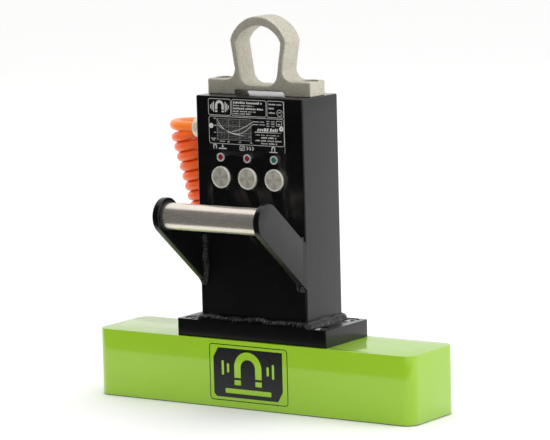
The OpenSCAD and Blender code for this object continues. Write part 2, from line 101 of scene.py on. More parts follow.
class Mat:
    """A Principled material put together from object-space noise layers."""

    def __init__(self, name, color, rough, metal=0.0, spec=0.5, coat=0.0, coat_rough=0.08, aniso=0.0, ior=1.5):
        self.m = bpy.data.materials.new(name)
        self.m.use_nodes = True
        self.nt = self.m.node_tree
        self.p = self.nt.nodes["Principled BSDF"]
        self.color = lin(color)
        self.p.inputs["Base Color"].default_value = (*self.color, 1)
        self.p.inputs["Roughness"].default_value = rough
        self.p.inputs["Metallic"].default_value = metal
        self.p.inputs["Specular IOR Level"].default_value = spec
        self.p.inputs["Coat Weight"].default_value = coat
        self.p.inputs["Coat Roughness"].default_value = coat_rough
        self.p.inputs["Anisotropic"].default_value = aniso
        self.p.inputs["IOR"].default_value = ior
        self.rough = rough
        self.tc = self.nt.nodes.new("ShaderNodeTexCoord")
        self.normal = None
        self.col_out = None
        self.rough_out = None
        self.m.diffuse_color = (*self.color, 1)

    def node(self, kind, **kw):
        n = self.nt.nodes.new(kind)
        for k, v in kw.items():
            setattr(n, k, v)
        return n

    def link(self, a, b):
        self.nt.links.new(a, b)

    def coords(self, stretch=(1, 1, 1), shift=(0, 0, 0)):
        mp = self.node("ShaderNodeMapping")
        mp.inputs["Scale"].default_value = stretch
        mp.inputs["Location"].default_value = shift
        self.link(self.tc.outputs["Object"], mp.inputs["Vector"])
        return mp.outputs["Vector"]

    def noise(self, size_mm, stretch=(1, 1, 1), detail=3.0, rough=0.55, shift=(0, 0, 0)):
        n = self.node("ShaderNodeTexNoise")
        n.inputs["Scale"].default_value = 1000.0 / size_mm
        n.inputs["Detail"].default_value = detail
        n.inputs["Roughness"].default_value = rough
        self.link(self.coords(stretch, shift), n.inputs["Vector"])
        return n.outputs["Fac"]

    def ramp(self, value, lo, hi, out_lo=0.0, out_hi=1.0):
        r = self.node("ShaderNodeMapRange")
        r.inputs["From Min"].default_value = lo
        r.inputs["From Max"].default_value = hi
        r.inputs["To Min"].default_value = out_lo
        r.inputs["To Max"].default_value = out_hi
        self.link(value, r.inputs["Value"])
        return r.outputs["Result"]

    def tint(self, fac, color, srgb=True):
        """Mixes towards another colour where fac is 1."""
        mix = self.node("ShaderNodeMix", data_type="RGBA")
        if self.col_out is None:
            mix.inputs["A"].default_value = (*self.color, 1)
        else:
            self.link(self.col_out, mix.inputs["A"])
        mix.inputs["B"].default_value = (*(lin(color) if srgb else color), 1)
        self.link(fac, mix.inputs["Factor"])
        self.col_out = mix.outputs["Result"]
        return self

    def mottle(self, size_mm, color, amount=0.5, lo=0.35, hi=0.7, **kw):
        return self.tint(self.ramp(self.noise(size_mm, **kw), lo, hi, 0, amount), color)

    def bump(self, value, height_mm, strength=1.0):
        b = self.node("ShaderNodeBump")
        b.inputs["Distance"].default_value = height_mm * MM
        b.inputs["Strength"].default_value = strength
        self.link(value, b.inputs["Height"])
        if self.normal is not None:
            self.link(self.normal, b.inputs["Normal"])
        self.normal = b.outputs["Normal"]
        return self

    def grain(self, size_mm, height_mm, **kw):
        return self.bump(self.noise(size_mm, **kw), height_mm)

    def rough_noise(self, size_mm, lo, hi, **kw):
        self.rough_out = self.ramp(self.noise(size_mm, **kw), 0.3, 0.7, lo, hi)
        return self

    def done(self, coat_normal=False):
        if self.col_out is not None:
            self.link(self.col_out, self.p.inputs["Base Color"])
        if self.rough_out is not None:
            self.link(self.rough_out, self.p.inputs["Roughness"])
        if self.normal is not None:
            self.link(self.normal, self.p.inputs["Normal"])
        if coat_normal and self.normal is not None:
            self.link(self.normal, self.p.inputs["Coat Normal"])
        return self.m


def green_paint():
    m = Mat("green_paint", (146, 192, 8), 0.45, spec=0.4, coat=0.9, coat_rough=0.1)
    m.mottle(90, (139, 186, 6), 0.5)
    m.mottle(0.9, (154, 199, 22), 0.25, detail=2)
    m.rough_noise(14, 0.36, 0.48)
    m.grain(2.4, 0.035, detail=1)
    m.grain(0.5, 0.006, detail=2)
    return m.done()


def black_paint():
    m = Mat("black_paint", (8, 8, 9), 0.4, spec=0.16, coat=0.8, coat_rough=0.16)
    m.p.inputs["Coat IOR"].default_value = 1.33
    m.mottle(60, (13, 13, 15), 0.6)
    m.mottle(0.7, (18, 18, 20), 0.3, detail=2)
    m.rough_noise(9, 0.30, 0.42)
    m.grain(1.3, 0.014, detail=1.5)
    m.grain(0.35, 0.004, detail=2)
    return m.done()


def weld_paint():
    m = Mat("weld_paint", (6, 6, 7), 0.3, spec=0.14, coat=0.6, coat_rough=0.04)
    m.p.inputs["Coat IOR"].default_value = 1.42
    m.mottle(5, (9, 9, 11), 0.6)
    m.rough_noise(3, 0.25, 0.4)
    m.grain(3.0, 0.05, detail=1)
    m.grain(0.9, 0.006, detail=1)
    return m.done(coat_normal=True)


def cast_steel():
    m = Mat("cast_steel", (197, 193, 178), 0.52, metal=0.6, spec=0.4)
    m.mottle(7, (184, 177, 162), 0.55)
    m.mottle(1.6, (146, 134, 117), 0.65, lo=0.5, hi=0.72, detail=4)
    m.mottle(0.8, (216, 213, 202), 0.5, lo=0.5, hi=0.8, detail=4, shift=(0.3, 0.1, 0))
    m.rough_noise(4, 0.42, 0.64)
    m.grain(1.7, 0.12, detail=4, rough=0.65)
    m.grain(0.55, 0.05, detail=2)
    return m.done()


def stainless():
    m = Mat("stainless_brushed", (243, 235, 224), 0.3, metal=0.84, aniso=0.3, spec=0.5)
    m.mottle(0.6, (216, 204, 190), 0.5, stretch=(0.012, 1, 1), detail=2)
    m.mottle(24, (234, 225, 213), 0.5)
    m.rough_noise(0.8, 0.24, 0.32, stretch=(0.02, 1, 1))
    m.grain(0.5, 0.0025, stretch=(0.01, 1, 1), detail=2)
    return m.done()


def button_steel(name="button_steel", spin=True):
    """Turned face: fine rings about the piece's own Y axis; with spin, the fan of light and dark that such rings throw
    is painted into the colour as a sheen by angle.
    """
    m = Mat(name, (228, 225, 214) if spin else (244, 242, 230), 0.4, metal=0.66, aniso=0.6 if spin else 0.2)
    if spin:
        t = m.node("ShaderNodeTangent", direction_type="RADIAL", axis="Y")
        m.link(t.outputs["Tangent"], m.p.inputs["Tangent"])
    w = m.node("ShaderNodeTexWave", wave_type="RINGS", rings_direction="Y")
    w.inputs["Scale"].default_value = 900
    w.inputs["Distortion"].default_value = 0.6
    w.inputs["Detail"].default_value = 2
    m.link(m.coords(), w.inputs["Vector"])
    m.tint(m.ramp(w.outputs["Fac"], 0, 1, 0, 0.3), (196, 192, 180))
    if spin:
        # painted sheen: light and dark sectors by angle about the button's centre, a painted reflection of the circular
        # brushing
        sep = m.node("ShaderNodeSeparateXYZ")
        m.link(m.tc.outputs["Object"], sep.inputs["Vector"])
        at = m.node("ShaderNodeMath", operation="ARCTAN2")
        m.link(sep.outputs["Z"], at.inputs[0])
        m.link(sep.outputs["X"], at.inputs[1])
        k = m.node("ShaderNodeMath", operation="MULTIPLY_ADD")
        k.inputs[1].default_value = 4.0
        k.inputs[2].default_value = 0.9
        m.link(at.outputs[0], k.inputs[0])
        sn = m.node("ShaderNodeMath", operation="SINE")
        m.link(k.outputs[0], sn.inputs[0])
        m.tint(m.ramp(sn.outputs[0], -0.6, 1, 0, 0.55), (158, 150, 138))
    m.mottle(3, (224, 220, 208), 0.4)
    m.rough_noise(1.2, 0.34, 0.46)
    m.bump(w.outputs["Fac"], 0.004)
    return m.done()


def plain_metal(name, color, rough, streak=None, metal=1.0, wear=(120, 118, 112), amount=0.35):
    m = Mat(name, color, rough, metal=metal, aniso=0.2)
    m.mottle(6, wear, amount)
    m.mottle(0.6, tuple(min(255, c + 18) for c in color), 0.4, stretch=streak or (1, 1, 1), detail=3)
    m.rough_noise(2.5, max(0.05, rough - 0.08), rough + 0.12)
    m.grain(0.6, 0.012, stretch=streak or (1, 1, 1), detail=3)
    return m.done()


def plastic(name, color, rough=0.45, grain=0.02, alt=None, coat=0.0):
    m = Mat(name, color, rough, coat=coat)
    m.mottle(12, alt or tuple(int(c * 0.86) for c in color), 0.6)
    m.mottle(0.8, tuple(min(255, int(c * 1.12) + 4) for c in color), 0.35, detail=3)
    m.rough_noise(3, max(0.05, rough - 0.07), rough + 0.1)
    m.grain(0.9, grain, detail=3)
    return m.done()


def lead_orange():
    m = Mat("lead_orange", (243, 92, 12), 0.34, spec=0.45, coat=0.3, coat_rough=0.24)
    m.p.inputs["Subsurface Weight"].default_value = 0.22
    m.p.inputs["Subsurface Radius"].default_value = (0.0045, 0.001, 0.0002)
    m.mottle(40, (237, 80, 9), 0.5)
    m.mottle(1.5, (249, 110, 20), 0.35, detail=3)
    # painted highlight: the first turn, at the top, is painted lighter and yellower than the rest, as where light falls
    # on it
    sep = m.node("ShaderNodeSeparateXYZ")
    m.link(m.tc.outputs["Object"], sep.inputs["Vector"])
    m.tint(m.ramp(sep.outputs["Z"], 0.2495, 0.2625, 0.0, 0.7), (252, 142, 34))
    m.rough_noise(5, 0.28, 0.42)
    m.grain(1.2, 0.02, detail=2)
    return m.done()


def lamp_glass(name, color, deep):
    m = Mat(name, color, 0.12, coat=0.8, coat_rough=0.03)
    m.mottle(2.2, deep, 0.7)
    m.mottle(0.5, tuple(min(255, c + 40) for c in color), 0.3, detail=2)
    m.rough_noise(1, 0.08, 0.18)
    m.grain(0.8, 0.02)
    return m.done()


def magnet_block():
    m = Mat("magnet_block", (150, 152, 158), 0.3, metal=1.0)
    m.mottle(10, (120, 122, 128), 0.5)
    m.mottle(0.7, (176, 178, 184), 0.4, detail=3)
    m.rough_noise(3, 0.24, 0.42)
    m.grain(0.8, 0.01)
    return m.done()


def winding():
    m = Mat("copper_winding", (176, 98, 48), 0.32, metal=0.9)
    w = m.node("ShaderNodeTexWave", wave_type="BANDS", bands_direction="Z")
    w.inputs["Scale"].default_value = 260
    w.inputs["Distortion"].default_value = 1.2
    w.inputs["Detail"].default_value = 1
    m.link(m.coords(), w.inputs["Vector"])
    m.tint(m.ramp(w.outputs["Fac"], 0, 1, 0, 0.6), (120, 58, 26))
    m.mottle(9, (192, 116, 60), 0.4)
    m.rough_noise(2, 0.25, 0.4)
    m.bump(w.outputs["Fac"], 0.25)
    return m.done()


def board():
    m = Mat("circuit_board", (22, 84, 50), 0.35, coat=0.5, coat_rough=0.1)
    v = m.node("ShaderNodeTexVoronoi", feature="DISTANCE_TO_EDGE")
    v.inputs["Scale"].default_value = 160
    m.link(m.coords(), v.inputs["Vector"])
    m.tint(m.ramp(v.outputs["Distance"], 0.02, 0.05, 0.8, 0), (44, 120, 72))
    m.mottle(2, (16, 66, 40), 0.5)
    m.rough_noise(2, 0.3, 0.42)
    m.grain(0.7, 0.02)
    return m.done()


M = {
    "green": green_paint(),
    "black": black_paint(),
    "weld": weld_paint(),
    "cast": cast_steel(),
    "stainless": stainless(),
    "button": button_steel(),
    "bezel": button_steel("bezel_steel", spin=False),
    "screw_steel": plain_metal("screw_steel", (168, 168, 166), 0.34),
    "screw_black": plain_metal("screw_black", (52, 54, 60), 0.38, wear=(30, 30, 34), metal=0.8),
    "pole": plain_metal("pole_steel", (150, 150, 148), 0.3, streak=(1, 0.04, 1)),
    "face_steel": plain_metal("bare_steel", (96, 98, 96), 0.4, streak=(1, 0.05, 1)),
    "rare_earth": magnet_block(),
    "alnico": plain_metal("alnico", (110, 110, 114), 0.45),
    "winding": winding(),
    "brass": plain_metal("face_brass", (176, 146, 84), 0.34, streak=(1, 0.05, 1), wear=(140, 112, 60)),
    "rubber": plastic("black_rubber", (24, 24, 25), 0.6, 0.04),
    "plastic": plastic("black_plastic", (30, 30, 32), 0.42, 0.02),
    "panel": plastic("panel_black", (13, 13, 15), 0.3, 0.008),
    "ink": plastic("print_white", (178, 178, 175), 0.45, 0.004),
    "ink_black": plastic("print_black", (17, 19, 22), 0.32, 0.006),
    "rivet": plain_metal("rivet_alu", (222, 222, 220), 0.36, metal=0.3, wear=(200, 200, 198)),
    "chrome": plain_metal("lamp_chrome", (226, 226, 226), 0.3, metal=0.55, wear=(190, 190, 190)),
    "red": lamp_glass("lamp_red", (120, 14, 20), (58, 4, 8)),
    "green_lamp": lamp_glass("lamp_green", (18, 92, 74), (6, 46, 38)),
    "nickel": plain_metal("nickel", (232, 229, 211), 0.42, metal=0.38, wear=(206, 202, 182)),
    "lead": lead_orange(),
    "board": board(),
    "cap": plastic("capacitor_sleeve", (34, 48, 92), 0.35, 0.01),
    "sink": plain_metal("heat_sink_alu", (176, 178, 182), 0.36, streak=(1, 1, 0.05)),
    "terminal": plastic("terminal_green", (60, 142, 84), 0.4, 0.015),
    "wire": plastic("wire_red", (170, 30, 26), 0.36, 0.01),
}

# ------------------------------------------------------------------ mesh helpers
def link(obj):
    bpy.context.scene.collection.objects.link(obj)
    return obj


def shade(me, sharp):
    """Curved faces smooth, large flat ones flat, so that a bevel's normals don't run over them."""
    bm = bmesh.new()
    bm.from_mesh(me)
    flat = set()
    for f in bm.faces:
        if f.calc_area() < 12e-6:
            continue
        bends = [e.calc_face_angle(0) for e in f.edges if len(e.link_faces) == 2]
        if not any(math.radians(0.8) < a < math.radians(13) for a in bends):
            flat.add(f.index)
    bm.free()
    for p in me.polygons:
        p.use_smooth = p.index not in flat
    me.set_sharp_from_angle(angle=math.radians(sharp))


def finish_mesh(name, bm, mats, body=ROOT, replaces=(), sharp=35.0, origin=None):
    """Turns a bmesh (metres, row frame) into a riding piece with clean shading."""
    bmesh.ops.recalc_face_normals(bm, faces=bm.faces)
    me = bpy.data.meshes.new(name)
    if origin is not None:
        bmesh.ops.translate(bm, vec=-Vector(origin), verts=bm.verts)
    bm.to_mesh(me)
    bm.free()
    shade(me, sharp)
    for m in mats if isinstance(mats, (list, tuple)) else [mats]:
        me.materials.append(m)
    o = link(bpy.data.objects.new(name, me))
    if origin is not None:
        o.location = origin
    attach(o, body)
    if replaces:
        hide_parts(*([replaces] if isinstance(replaces, str) else replaces))
    return o


def bevel_edges(bm, width_mm, segs, min_angle=30.0, only=None, convex=True):
    edges = []
    for e in bm.edges:
        if len(e.link_faces) != 2:
            continue
        if e.calc_face_angle(0) < math.radians(min_angle):
            continue
        if convex and not e.is_convex:
            continue
        if only and not only((e.verts[0].co + e.verts[1].co) / 2 * 1000, (e.verts[1].co - e.verts[0].co).normalized()):
            continue
        edges.append(e)
    if edges:
        bmesh.ops.bevel(bm, geom=edges, offset=width_mm * MM, offset_type="OFFSET", segments=segs, profile=0.5,
                        affect="EDGES", clamp_overlap=True)
    return bm


def cad_mesh(node, tidy=True):
    bm = bmesh.new()
    bm.from_mesh(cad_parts[node].data)
    for f in bm.faces:
        f.material_index = 0
    bmesh.ops.remove_doubles(bm, verts=bm.verts, dist=2e-6)
    if tidy:
        bmesh.ops.dissolve_limit(bm, angle_limit=math.radians(0.6), verts=bm.verts, edges=bm.edges)
    return bm


def soft_copy(name, node, width_mm, mats, segs=2, body=ROOT, only=None, sharp=35.0, origin=None, min_angle=30.0, also=()):
    bm = cad_mesh(node)
    bmesh.ops.recalc_face_normals(bm, faces=bm.faces)
    bevel_edges(bm, width_mm, segs, only=only, min_angle=min_angle)
    return finish_mesh(name, bm, mats, body, [node, *also], sharp, origin)


def prism(out, loops, to3d, t0, t1):
    """Closed solid between t0 and t1 from an outer loop and hole loops (2D, mm). to3d(u, v, t) gives mm."""
    if len(loops) == 1 and len(loops[0]) == 4:
        lo = [out.verts.new(Vector(to3d(u, v, t0)) * MM) for u, v in loops[0]]
        hi = [out.verts.new(Vector(to3d(u, v, t1)) * MM) for u, v in loops[0]]
        out.faces.new(lo[::-1])
        out.faces.new(hi)
        for i in range(4):
            out.faces.new((lo[i], lo[(i + 1) % 4], hi[(i + 1) % 4], hi[i]))
        return out
    bm = bmesh.new()
    rings = []
    for loop in loops:
        vs = [bm.verts.new(Vector(to3d(u, v, t0)) * MM) for u, v in loop]
        es = [bm.edges.new((vs[i], vs[(i + 1) % len(vs)])) for i in range(len(vs))]
        rings.append((vs, es))
    r = bmesh.ops.triangle_fill(bm, use_beauty=True, use_dissolve=False, edges=[e for _, es in rings for e in es])
    caps = [g for g in r["geom"] if isinstance(g, bmesh.types.BMFace)]
    top = {}
    for (vs, _), loop in zip(rings, loops):
        for v, (a, b) in zip(vs, loop):
            top[v] = bm.verts.new(Vector(to3d(a, b, t1)) * MM)
    for f in caps:
        bm.faces.new([top[v] for v in reversed(f.verts)])
    for vs, _ in rings:
        for i in range(len(vs)):
            a, b = vs[i], vs[(i + 1) % len(vs)]
            bm.faces.new((a, b, top[b], top[a]))
    bmesh.ops.recalc_face_normals(bm, faces=bm.faces)
    bmesh.ops.dissolve_limit(bm, angle_limit=math.radians(0.5), verts=[], edges=bm.edges)
    me = bpy.data.meshes.new("part")
    bm.to_mesh(me)
    bm.free()
    out.from_mesh(me)
    bpy.data.meshes.remove(me)
    return out


def rounded(l, d, r, n=8, cx=0.0, cy=0.0):
    pts = []
    for sx, sy, a0 in ((1, 1, 0), (-1, 1, 90), (-1, -1, 180), (1, -1, 270)):
        for i in range(n + 1):
            a = math.radians(a0 + 90 * i / n)
            pts.append((cx + sx * (l / 2 - r) + r * math.cos(a), cy + sy * (d / 2 - r) + r * math.sin(a)))
    return pts


def lathe(bm, profile, axis, centre, n=64, close=True):
    """Solid of revolution. profile: (along, radius) in mm, closed on the axis if it starts and ends at radius 0."""
    axis = Vector(axis).normalized()
    side = Vector((0, 0, 1)) if abs(axis.z) < 0.9 else Vector((1, 0, 0))
    u = axis.cross(side).normalized()
    v = axis.cross(u)
    c = Vector(centre)
    rings = []
    for a, r in profile:
        if r < 1e-6:
            rings.append([bm.verts.new((c + axis * a) * MM)])
        else:
            rings.append([bm.verts.new((c + axis * a + (u * math.cos(t) + v * math.sin(t)) * r) * MM)
                          for t in (2 * math.pi * i / n for i in range(n))])
    pairs = list(zip(rings, rings[1:]))
    if close and len(rings[0]) > 1 and len(rings[-1]) > 1:
        pairs.append((rings[-1], rings[0]))
    for a, b in pairs:
        for i in range(n):
            j = (i + 1) % n
            if len(a) == 1 and len(b) == 1:
                continue
            if len(a) == 1:
                bm.faces.new((a[0], b[j], b[i]))
            elif len(b) == 1:
                bm.faces.new((a[i], a[j], b[0]))
            else:
                bm.faces.new((a[i], a[j], b[j], b[i]))
    return bm


def arc(c, r, a0, a1, n):
    return [(c[0] + r * math.cos(math.radians(a0 + (a1 - a0) * i / n)), c[1] + r * math.sin(math.radians(a0 + (a1 - a0) * i / n)))
            for i in range(n + 1)]


def boolean(o, cutter_bm, kind="DIFFERENCE"):
    """Applies a boolean with a throw-away cutter."""
    bmesh.ops.recalc_face_normals(cutter_bm, faces=cutter_bm.faces)
    me = bpy.data.meshes.new("cutter")
    cutter_bm.to_mesh(me)
    cutter_bm.free()
    c = link(bpy.data.objects.new("cutter", me))
    mod = o.modifiers.new("cut", "BOOLEAN")
    mod.operation = kind
    mod.object = c
    mod.solver = "EXACT"
    bpy.context.view_layer.update()
    dg = bpy.context.evaluated_depsgraph_get()
    new = bpy.data.meshes.new_from_object(o.evaluated_get(dg))
    o.modifiers.clear()
    old = o.data
    o.data = new
    bpy.data.meshes.remove(old)
    bpy.data.objects.remove(c)
    bpy.data.meshes.remove(me)
    return o


def resmooth(o, sharp=35.0):
    for p in o.data.polygons:
        p.use_smooth = True
    o.data.set_sharp_from_angle(angle=math.radians(sharp))


# ------------------------------------------------------------------ supply lead
CORD_D = 9.7
R_TURN = 20.3
coil_route = [(-95.1, 24, 243.1), (-93.6, 30, 223.2), (-92.2, 36, 203.2), (-90.8, 42, 183.3), (-90, 46.4, 170), (-89.4, 51.5, 157),
              (-88.3, 57.5, 141), (-86, 64.5, 121), (-80.5, 71, 100), (-70.5, 75, 76), (-56, 76, 52), (-38, 76, 36), (-22, 76, 28),
              (-8, 76, 25.3), (-6.1, 76, 25.25)]
tail_route = [(-5, 81, 4.95), (-2, 92, 4.9), (3, 102, 4.9), (12, 111, 4.9), (22, 116, 4.9), (32, 118, 5.4), (40, 118, 6.8),
              (65.2, 118, 12.8)]


def catmull(points, step):
    """Points every step mm along a centripetal curve through the given ones."""
    p = [Vector(q) for q in points]
    p = [p[0] * 2 - p[1]] + p + [p[-1] * 2 - p[-2]]
    dense = []
    for i in range(1, len(p) - 2):
        p0, p1, p2, p3 = p[i - 1:i + 3]
        t0 = 0.0
        t1 = t0 + (p1 - p0).length ** 0.5
        t2 = t1 + (p2 - p1).length ** 0.5
        t3 = t2 + (p3 - p2).length ** 0.5
        for k in range(60):
            t = t1 + (t2 - t1) * k / 60
            a1 = p0 * ((t1 - t) / (t1 - t0)) + p1 * ((t - t0) / (t1 - t0))
            a2 = p1 * ((t2 - t) / (t2 - t1)) + p2 * ((t - t1) / (t2 - t1))
            a3 = p2 * ((t3 - t) / (t3 - t2)) + p3 * ((t - t2) / (t3 - t2))
            b1 = a1 * ((t2 - t) / (t2 - t0)) + a2 * ((t - t0) / (t2 - t0))
            b2 = a2 * ((t3 - t) / (t3 - t1)) + a3 * ((t - t1) / (t3 - t1))
            dense.append(b1 * ((t2 - t) / (t2 - t1)) + b2 * ((t - t1) / (t2 - t1)))
    dense.append(p[-2])
    out, carry = [dense[0]], 0.0
    for a, b in zip(dense, dense[1:]):
        seg = (b - a).length
        while seg > 0 and carry + seg >= step:
            f = (step - carry) / seg
            a = a.lerp(b, f)
            out.append(a.copy())
            seg = (b - a).length
            carry = 0.0
        carry += seg
    if (out[-1] - dense[-1]).length > step * 0.3:
        out.append(dense[-1])
    return out


# middle and tilt of the first two turns: turn number, height, share of the tilt, y
FIRST = ((0, 259.8, 0, 20.3), (0.25, 259.8, 0, 20.3), (0.5, 258.8, 0, 20.3), (0.75, 257.0, 0.25, 20.5), (1.0, 252.3, 0.8, 21.0),
         (1.25, 250.3, 1, 21.75), (1.5, 248.0, 1, 22.5), (2.0, 243.1, 1, 24.0), (2.2, 241.1, 1, 24.6))
TILT = Vector((0.152, 0.1, -1)).normalized()


def on_ring(c, m, deg):
    """Point of a turn about the middle c, square to m; 0 degrees is its front."""
    uu = (Vector((0, 1, 0)) - m * m.y).normalized()
    a = math.radians(deg)
    return c - uu * (R_TURN * math.cos(a)) - m.cross(uu) * (R_TURN * math.sin(a))


def first_turns():
    table = []
    for k in range(0, 221):
        q = k / 100.0
        for a, b in zip(FIRST, FIRST[1:]):
            if a[0] <= q <= b[0]:
                f = (q - a[0]) / (b[0] - a[0])
                table.append([a[j] + (b[j] - a[j]) * f for j in (1, 2, 3)])
                break
    for _ in range(60):
        table = [table[0]] + [[(u[j] + v[j] * 2 + w[j]) / 4 for j in range(3)] for u, v, w in zip(table, table[1:], table[2:])] + [table[-1]]
    out = []
    for k in range(0, 720, 12):
        q = k / 360.0
        z, w, y = table[int(round(q * 100))]
        c = Vector((-96.0 + 0.47 * q, y, z))
        out.append(on_ring(c, Vector((0.152 * w, 0.1 * w, -1)).normalized(), k))
    return out


def lead_points():
    step = 0.5
    mid = catmull(coil_route, step)
    n = len(mid)
    tan = [(mid[min(i + 1, n - 1)] - mid[max(i - 1, 0)]).normalized() for i in range(n)]
    # the upper rings share one tilt, the lower ones turn square to the route
    first = next(i for i in range(n) if mid[i].z < 190)
    last = next(i for i in range(n) if mid[i].z < 118)
    nrm = []
    for i in range(n):
        w = min(1.0, max(0.0, (i - first) / (last - first)))
        nrm.append((tan[i] * w + TILT * (1 - w)).normalized())
    for _ in range(30):
        nrm = [nrm[0]] + [(nrm[i - 1] + nrm[i] * 2 + nrm[i + 1]).normalized() for i in range(1, n - 1)] + [nrm[-1]]
    pitch = []
    for i in range(n):
        k = max(1, min(n - 2, i))
        turn = (nrm[k + 1] - nrm[k - 1]).length / (2 * step)
        c = nrm[i].dot(tan[i])
        pitch.append(10.25 if mid[i].z > 170 else (CORD_D + 0.25) / max(0.3, c - R_TURN * turn))
    for _ in range(120):
        pitch = [pitch[0]] + [max(pitch[i], (pitch[i - 1] + pitch[i + 1]) / 2) if mid[i].z < 170 else pitch[i]
                              for i in range(1, n - 1)] + [pitch[-1]]
    # whole number of turns and a quarter: the last ring's lowest point meets the tail on the floor
    free = [i for i in range(n - 1) if mid[i].z < 160]
    total = sum(360 * step / p for p in pitch[:-1])
    want = 360 * math.floor((total - 90) / 360) + 90
    fixed = sum(360 * step / pitch[i] for i in range(n - 1) if mid[i].z >= 160)
    scale = (total - fixed) / (want - fixed)
    for i in free:
        pitch[i] *= scale
    ang, a = [0.0], 0.0
    for i in range(n - 1):
        a += 360 * step / pitch[i]
        ang.append(a)
    pts = [Vector((x, 0, 259.8)) for x in (-66, -72, -78.3, -81, -84, -87, -89.8, -92.2)]
    pts += first_turns()
    k, i = 0.0, 0
    while k <= ang[-1] + 1e-6:
        while i < n - 2 and ang[i + 1] < k:
            i += 1
        f = min(1.0, max(0.0, (k - ang[i]) / (ang[i + 1] - ang[i])))
        pts.append(on_ring(mid[i].lerp(mid[i + 1], f), nrm[i].lerp(nrm[i + 1], f).normalized(), k))
        k += 12.0
    print("lead: turns", round(ang[-1] / 360 + 2, 2), "pitch", round(min(pitch), 2), round(max(pitch), 2), "end", pts[-1][:])
    coil_end = len(pts)
    pts += [p for p in catmull([pts[-1]] + tail_route, 3.5)[1:]]
    return pts, coil_end


pts, coil_end = lead_points()
cu = bpy.data.curves.new("supply_lead", "CURVE")
cu.dimensions = "3D"
cu.bevel_depth = CORD_D / 2 * MM
cu.bevel_resolution = 5
cu.use_fill_caps = True
sp = cu.splines.new("POLY")
sp.points.add(len(pts) - 1)
for q, p in zip(sp.points, pts):
    q.co = (p.x * MM, p.y * MM, p.z * MM, 1)
sp.use_smooth = True
cu.materials.append(M["lead"])
lead = link(bpy.data.objects.new("supply_lead", cu))
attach(lead, ROOT)
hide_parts("lead_start", "lead_coil", "lead_tail")

# plug at its far end: sleeve, body with grip rings and a flange, pins
PLUG_AT = Vector((38, 118, 6.3))
PLUG_T = math.radians(13.5)
plug_axis = Vector((math.cos(PLUG_T), 0, math.sin(PLUG_T)))
bm = bmesh.new()
prof = [(1.0, CORD_D / 2 + 0.08), (1.0, 5.7), (1.6, 6.1)]
for i in range(6):
    a = 3.5 + i * 4.0
    r = 6.2 + (a - 1) * 0.078
    prof += [(a, r), (a + 0.4, r - 0.8), (a + 1.4, r - 0.8), (a + 1.8, r + 0.05)]
prof += [(27.4, 8.2), (28.0, 7.8), (28.0, CORD_D / 2 + 0.08)]
lathe(bm, prof, plug_axis, PLUG_AT, 40)
sleeve = finish_mesh("plug_sleeve_ribbed", bm, M["rubber"], replaces="plug_sleeve", sharp=50)
bm = bmesh.new()
prof = [(28.05, 0.0), (28.05, 9.6), (28.9, 10.9), (30.5, 11.9), (32, 12.5)]
for i in range(4):
    a = 33.4 + i * 2.8
    r = 12.6 + i * 0.25
    prof += [(a, r), (a + 0.35, r - 0.6), (a + 1.2, r - 0.6), (a + 1.55, r + 0.12)]
prof += [(45.4, 14.0), (47.6, 15.6), (49.2, 17.4), (50.6, 18.15), (59.4, 18.15), (60.5, 17.7), (61, 16.8), (61, 0.0)]
lathe(bm, prof, plug_axis, PLUG_AT, 64, close=False)
plug = finish_mesh("plug_moulding", bm, M["plastic"], replaces="plug_body", sharp=50)
bm = bmesh.new()
for s in (-1, 1):
    c = PLUG_AT + Vector((0, s * 9.5, 0))
    lathe(bm, [(60.8, 0), (60.8, 2.4), (76.6, 2.4), (78.6, 1.9), (79.4, 1.1), (79.6, 0)], plug_axis, c, 28, close=False)
pins = finish_mesh("plug_contact_pins", bm, M["nickel"], replaces="plug_pins", sharp=40)

# ------------------------------------------------------------------ magnet body
def housing():
    bm = cad_mesh("magnet_housing")
    bmesh.ops.recalc_face_normals(bm, faces=bm.faces)
    # top outline rounded over by the paint, working face kept with a small ground chamfer
    bevel_edges(bm, 0.9, 3, only=lambda p, d: abs(p.z - 64.5) < 0.05 and max(abs(p.x) - 100, 0) + max(abs(p.y) - 30, 0) > 0)
    bevel_edges(bm, 0.5, 1, only=lambda p, d: abs(p.z) < 0.05 and (abs(p.x) > 165.5 or abs(p.y) > 28))
    # the working face and its chamfer are ground bare
    for f in bm.faces:
        f.material_index = 1 if f.calc_center_median().z / MM < 0.45 else 0
    return finish_mesh("magnet_body", bm, [M["green"], M["face_steel"]], replaces="magnet_housing", sharp=40)


housing()


def emblem():
    """Generic horseshoe-magnet sign on the front: a frame line and a dark panel with cut-outs."""
    y = -39.0

    def to3d(u, v, t):
        return (u, y - t, v)

    bm = bmesh.new()
    prism(bm, [rounded(88.5, 54, 3.5, 8, -1.75, 33.5), rounded(86.9, 52.4, 2.7, 8, -1.75, 33.5)], to3d, -0.03, 0.07)
    cx = -2.4

    def at(pts, dx=0.0, dz=0.0):
        return [(cx + dx + a, 33.5 + dz + b) for a, b in pts]

    # dark panel with slanting ends; holes: horseshoe, its two tips, two bars and a load plate
    panel = at([(-39, -20.5), (-39, 14), (-33.5, 23.5), (39, 23.5), (39, -14), (33.5, -23.5), (-36, -23.5)])
    horseshoe = at(arc((0, 5.5), 15.5, 0, 180, 24) + [(-15.5, -4.2), (-8.2, -4.2)] + arc((0, 5.5), 8.2, 180, 0, 18)
                   + [(8.2, -4.2), (15.5, -4.2)])
    tips = [at([(s * 11.85 - 3.65, -6.4), (s * 11.85 + 3.65, -6.4), (s * 11.85 + 3.65, -11.2), (s * 11.85 - 3.65, -11.2)]) for s in (-1, 1)]
    load = at(rounded(52, 4.6, 0.8, 4, 0, -17.2))
    sides = []
    for s in (-1, 1):
        for k, h in ((22.5, 9), (28.5, 14)):
            sides.append(at(rounded(2.6, h, 1.2, 4, s * k, 4.5)))
    prism(bm, [panel, horseshoe, *tips, load, *sides], to3d, -0.03, 0.07)
    finish_mesh("body_emblem", bm, M["ink_black"], sharp=30)


emblem()

